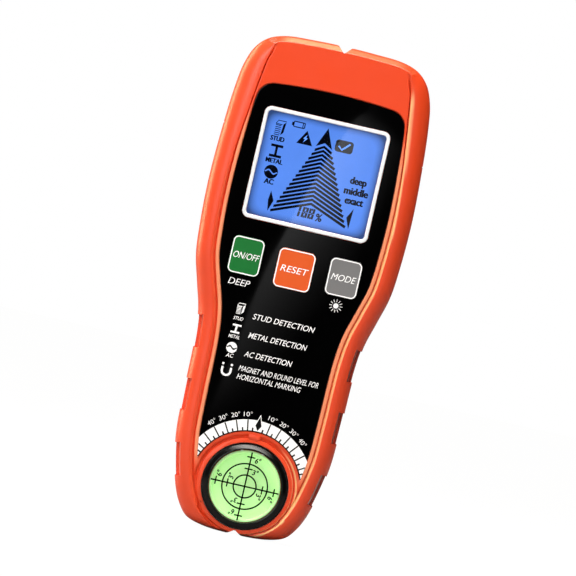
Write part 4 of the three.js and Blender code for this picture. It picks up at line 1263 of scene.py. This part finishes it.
def round_level():
    piece("dial_bezel_fine", knurled_bezel(), "dial", LOOK["bezel"], ["dial_bezel"], 20)
    low, high = flat_box("level_vial")
    outer, floor_level = (high[0] - low[0]) / 2, 27.0
    cup = [(outer - 0.4, low[2]), (outer, low[2] + 0.4), (outer, high[2] - 0.15), (outer - 0.15, high[2]),
           (outer - 0.65, high[2]), (outer - 0.8, high[2] - 0.15), (outer - 0.8, floor_level + 0.3),
           (outer - 1.1, floor_level)]
    vial = loft([at_level(circle(0, DIAL_Y, radius), level) for radius, level in cup])
    piece("level_vial_fine", vial, "dial", LOOK["vial"], ["level_vial"])
    low, high = flat_box("level_lens")
    lens = prism(circle(0, DIAL_Y, (high[0] - low[0]) / 2, 128), low[2], high[2], 0.1, 0.3, 4)
    piece("level_lens_fine", lens, "dial", LOOK["lens"], ["level_lens"])
    piece("level_print", vial_print(high[2] + 0.01), "dial", LOOK["vial_print"])
    low, high = flat_box("level_bubble")
    cz, radius, tall = (low + high)[2] / 2, (high[0] - low[0]) / 2, (high[2] - low[2]) / 2
    rings = []
    for a in np.linspace(-math.pi / 2 + 0.05, math.pi / 2 - 0.05, 20):
        rings.append(at_level(circle(0, DIAL_Y, radius * math.cos(a), 64), cz + tall * math.sin(a)))
    piece("level_bubble_fine", loft(rings), "bubble", LOOK["bubble"], ["level_bubble"], 60)


# ------------------------------------------------------------------ back: door, pads, screws

def battery_door():
    low, high = flat_box("battery_door")
    hinge_y = -1.5
    outline = rounded(0, (-60 + hinge_y + 0.85) / 2, 30.0, 60 + hinge_y + 0.85, 0.7)
    door = new_object("battery_door_fine", prism(outline, BACK, BACK + 1.7, 0.35, 0.6, 4))
    hooks = []
    for x in (-8.5, 8.5):
        hooks.append(box(x - 2.2, x + 2.2, -2.35, -1.45, BACK + 1, 4.3))
        hooks.append(box(x - 2.2, x + 2.2, -2.34, 0.55, BACK + 2 + GAP, 4.29))
    for hook in hooks:
        carve(door, hook, "UNION")
    ribs = [prism(rounded(0, -57 + 2 * k, 12, 0.9, 0.44, 5), BACK - 0.4, BACK + 0.5, 0.25, 0, 3) for k in range(4)]
    carve(door, merged(ribs), "UNION")
    piece("battery_door_fine", door, "battery_door", LOOK["orange"], ["battery_door"])


def pads():
    for name in PADS:
        low, high = flat_box(name)
        cx, cy = middle(name)[:2]
        solid = prism(rounded(cx, cy, high[0] - low[0], high[1] - low[1], 2.19, 10), low[2], high[2], 0.25, 0, 3)
        piece(f"{name}_fine", solid, "case", LOOK["rubber"], [name])


def screws():
    for k, (x, y) in enumerate(SCREWS, 1):
        low, high = flat_box(f"case_screw_{k}")
        head = prism(circle(x, y, 2.6, 48), low[2], low[2] + 1.7, 0.45, 0, 4)
        shank = prism(circle(x, y, 1.25, 24), low[2] + 1.5, high[2], 0, 0.4, 2)
        screw = carve(new_object(f"case_screw_{k}_fine", head), shank, "UNION")
        cross = [box(x - 1.5, x + 1.5, y - 0.3, y + 0.3, 0, low[2] + 1.0)]
        cross.append(box(x - 0.3, x + 0.3, y - 1.5, y + 1.5, 0, low[2] + 1.0))
        for slot_cut in cross:
            carve(screw, slot_cut)
        piece(f"case_screw_{k}_fine", screw, "case", LOOK["steel"], [f"case_screw_{k}"])


# ------------------------------------------------------------------ inside

INSIDE = {
    "lcd_light_guide": "milky", "zebra_strip": "rubber", "display_holder": "black",
    "power_switch": "black", "reset_switch": "black", "mode_switch": "black",
    "power_switch_plunger": "nylon", "reset_switch_plunger": "nylon", "mode_switch_plunger": "nylon",
    "dial_retainer": "black", "dial_wave_washer": "steel",
    "main_board": "board", "controller_chip": "black", "buzzer": "black", "power_capacitor": "steel",
    "crystal": "steel", "board_screw_1": "steel", "board_screw_2": "steel", "sensor_board": "board",
    "sensor_plate_left": "copper", "sensor_plate_middle": "copper", "sensor_plate_right": "copper",
    "search_coil": "copper", "coil_bobbin": "nylon", "ribbon_cable": "nylon", "marking_magnet": "steel",
    "battery_9v": "can", "battery_snap": "rubber", "battery_lead_red": "red", "battery_lead_black": "black",
}


def inside():
    for node, look in INSIDE.items():
        obj = frame["nodes"][node]
        obj.data.materials.clear()
        obj.data.materials.append(LOOK[look])


# ------------------------------------------------------------------ stage, light, camera

def emitter(name, strength, color):
    material, tree, output = nodes_of(name)
    glow = tree.nodes.new("ShaderNodeEmission")
    glow.inputs["Strength"].default_value = strength
    glow.inputs["Color"].default_value = (*color, 1)
    link(tree, glow.outputs["Emission"], output.inputs["Surface"])
    return material, tree, glow


def stage_mesh(name, points, faces, material):
    mesh = bpy.data.meshes.new(name)
    mesh.from_pydata([tuple(p) for p in points], [], faces)
    mesh.materials.append(material)
    obj = bpy.data.objects.new(name, mesh)
    bpy.context.scene.collection.objects.link(obj)
    return obj


def floor():
    """Pale floor: nearly white to the camera, plain grey to the light that it sends back to the tool."""
    material, tree, output = nodes_of("pale_floor")
    path = tree.nodes.new("ShaderNodeLightPath")
    seen, glow, soft, grey = (tree.nodes.new(kind) for kind in (
        "ShaderNodeAddShader", "ShaderNodeEmission", "ShaderNodeBsdfDiffuse", "ShaderNodeBsdfDiffuse"))
    glow.inputs["Color"].default_value = (1, 1, 1, 1)
    glow.inputs["Strength"].default_value = 0.975
    soft.inputs["Color"].default_value = (0.05, 0.05, 0.05, 1)
    grey.inputs["Color"].default_value = (0.3, 0.3, 0.3, 1)
    link(tree, glow.outputs["Emission"], seen.inputs[0])
    link(tree, soft.outputs["BSDF"], seen.inputs[1])
    mix = tree.nodes.new("ShaderNodeMixShader")
    link(tree, path.outputs["Is Camera Ray"], mix.inputs["Fac"])
    link(tree, grey.outputs["BSDF"], mix.inputs[1])
    link(tree, seen.outputs["Shader"], mix.inputs[2])
    link(tree, mix.outputs["Shader"], output.inputs["Surface"])
    size, front = 6.0, -1.0
    corners = [(-size, front, 0), (size, front, 0), (size, size, 0), (-size, size, 0)]
    stage_mesh("floor", corners, [(0, 1, 2, 3)], material)


def area(name, place, target, size, power, color=(1, 1, 1)):
    data = bpy.data.lights.new(name, "AREA")
    data.shape = "RECTANGLE"
    data.size, data.size_y = size
    data.energy = power
    data.color = color
    obj = bpy.data.objects.new(name, data)
    bpy.context.scene.collection.objects.link(obj)
    obj.location = place
    obj.rotation_euler = (Vector(target) - Vector(place)).to_track_quat("-Z", "Y").to_euler()
    return obj


def world():
    """White to the camera. To the tool it is bright on the left, dim on the right and dark behind the camera,
    and mirror-like surfaces see little of it, so that their highlights come from the lamps."""
    scene_world = bpy.data.worlds.new("studio")
    bpy.context.scene.world = scene_world
    scene_world.use_nodes = True
    tree = scene_world.node_tree
    tree.nodes.clear()
    output = tree.nodes.new("ShaderNodeOutputWorld")
    seen = tree.nodes.new("ShaderNodeBackground")
    seen.inputs["Color"].default_value = (1, 1, 1, 1)
    seen.inputs["Strength"].default_value = 1.0
    felt = tree.nodes.new("ShaderNodeBackground")
    felt.inputs["Color"].default_value = (1, 0.93, 0.84, 1)
    place = tree.nodes.new("ShaderNodeTexCoord")
    apart = tree.nodes.new("ShaderNodeSeparateXYZ")
    link(tree, place.outputs["Generated"], apart.inputs["Vector"])
    sideways = span(tree, apart.outputs["X"], 0.85, 0.1, -0.9, 0.5)
    behind = span(tree, apart.outputs["Y"], 0.02, 1.0, -0.97, -0.6)
    path = tree.nodes.new("ShaderNodeLightPath")
    mirrored = span(tree, path.outputs["Is Glossy Ray"], 1.0, 0.12, 0.0, 1.0)
    link(tree, product(tree, product(tree, sideways, behind), mirrored), felt.inputs["Strength"])
    mix = tree.nodes.new("ShaderNodeMixShader")
    link(tree, path.outputs["Is Camera Ray"], mix.inputs["Fac"])
    link(tree, felt.outputs["Background"], mix.inputs[1])
    link(tree, seen.outputs["Background"], mix.inputs[2])
    link(tree, mix.outputs["Shader"], output.inputs["Surface"])


PICTURE_WIDTH = 0.2074
LEAN = math.radians(12.95)
LENS, SENSOR = 500.0, 36.0


def camera():
    """Looks straight at the front face from far away, rolled so that the tool leans with its head to the right."""
    data = bpy.data.cameras.new("camera")
    data.lens, data.sensor_width = LENS, SENSOR
    obj = bpy.data.objects.new("camera", data)
    bpy.context.scene.collection.objects.link(obj)
    right = Vector((math.cos(LEAN), 0, math.sin(LEAN)))
    up = Vector((-math.sin(LEAN), 0, math.cos(LEAN)))
    distance = PICTURE_WIDTH * LENS / SENSOR
    centre = Vector((0, REAR_Y - 22.0 * MM, HALF_LENGTH * MM))
    offset = right * -0.00058 + up * 0.00097
    obj.location = centre + offset - Vector((0, distance, 0))
    obj.rotation_mode = "QUATERNION"
    obj.rotation_quaternion = rotation_to(right, up)
    data.clip_start, data.clip_end = 0.1, 60
    bpy.context.scene.camera = obj
    return obj


def rotation_to(right, up):
    from mathutils import Matrix
    back = right.cross(up)
    return Matrix((right, up, back)).transposed().to_quaternion()


# where the gloss begins on the panel, seen by the camera, and how strong it is there
GLOSS_EDGE = [((15.5, 76), 0.0), ((12.6, 69), 0.08), ((10.5, 67), 0.33), ((8.3, 63.5), 0.8), ((3.6, 52), 1.0),
              ((-0.6, 40), 1.0), ((-3.9, 29.7), 1.0), ((-5.8, 21.8), 1.0), ((-9.5, 8.1), 0.8),
              ((-12.6, -8.2), 0.58), ((-14.4, -23.9), 0.4), ((-17.4, -41), 0.15), ((-20, -52), 0.03)]
GLOSS_FADE = [(0, 1.0), (5, 0.76), (10, 0.5), (15, 0.31), (20, 0.16), (27, 0.02), (30, 0.0)]


def gloss_card(cam):
    """A soft light behind the camera: its curved edge shows as the diagonal sweep of gloss on the panel."""
    panel_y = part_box("front_panel")[0].y
    reach = 2.5
    material, tree, glow = emitter("gloss_card", 1.0, (1, 1, 1))
    points, fades = [], []
    for (x, y), strength in GLOSS_EDGE:
        for full_step, fade in GLOSS_FADE:
            step = full_step * strength ** 0.45
            px, pz = (x + step) * MM, (y - 0.2 * step + HALF_LENGTH) * MM
            points.append((px * reach - cam.location.x * (reach - 1),
                           panel_y - (reach - 1) * (panel_y - cam.location.y),
                           pz * reach - cam.location.z * (reach - 1)))
            fades.append(strength * fade)
    wide = len(GLOSS_FADE)
    faces = []
    for k in range(len(GLOSS_EDGE) - 1):
        for i in range(wide - 1):
            first = k * wide + i
            faces.append((first, first + 1, first + wide + 1, first + wide))
    card = stage_mesh("gloss_card", points, faces, material)
    attribute = card.data.attributes.new("fade", "FLOAT", "POINT")
    attribute.data.foreach_set("value", fades)
    read = tree.nodes.new("ShaderNodeAttribute")
    read.attribute_name = "fade"
    link(tree, span(tree, read.outputs["Fac"], 0.0, 1.15, 0.0, 1.0), glow.inputs["Strength"])


def polar(bearing, height, distance):
    """A place round the tool: bearing in degrees from straight ahead, to the left as the camera sees it."""
    a, b = math.radians(bearing), math.radians(height)
    return (-math.sin(a) * math.cos(b) * distance, -math.cos(a) * math.cos(b) * distance, 0.09 + math.sin(b) * distance)


def lights():
    target = (0, 0, 0.09)
    area("fill", polar(32, 20, 1.8), target, (0.9, 0.9), 14.5)
    area("right_fill", polar(-28, 5, 1.8), target, (0.9, 0.9), 1.8)
    area("warm_left", polar(122, 14, 0.8), target, (0.3, 0.6), 4.5, (1.0, 0.78, 0.45))
    area("top", polar(18, 75, 0.8), target, (1.0, 0.15), 13.0, (1.0, 0.95, 0.9))


# ------------------------------------------------------------------ build

LOOK["display_light"] = surface("lcd_light", (0.12, 0.32, 0.95), 0.4, bump=0.0, glow=0.8)

front_shell()
rear_shell()
front_panel()
display()
display_marks()
keys()
panel_printing()
round_level()
battery_door()
pads()
screws()
inside()

world()
floor()
lights()
gloss_card(camera())
bpy.context.scene.view_settings.view_transform = "Standard"
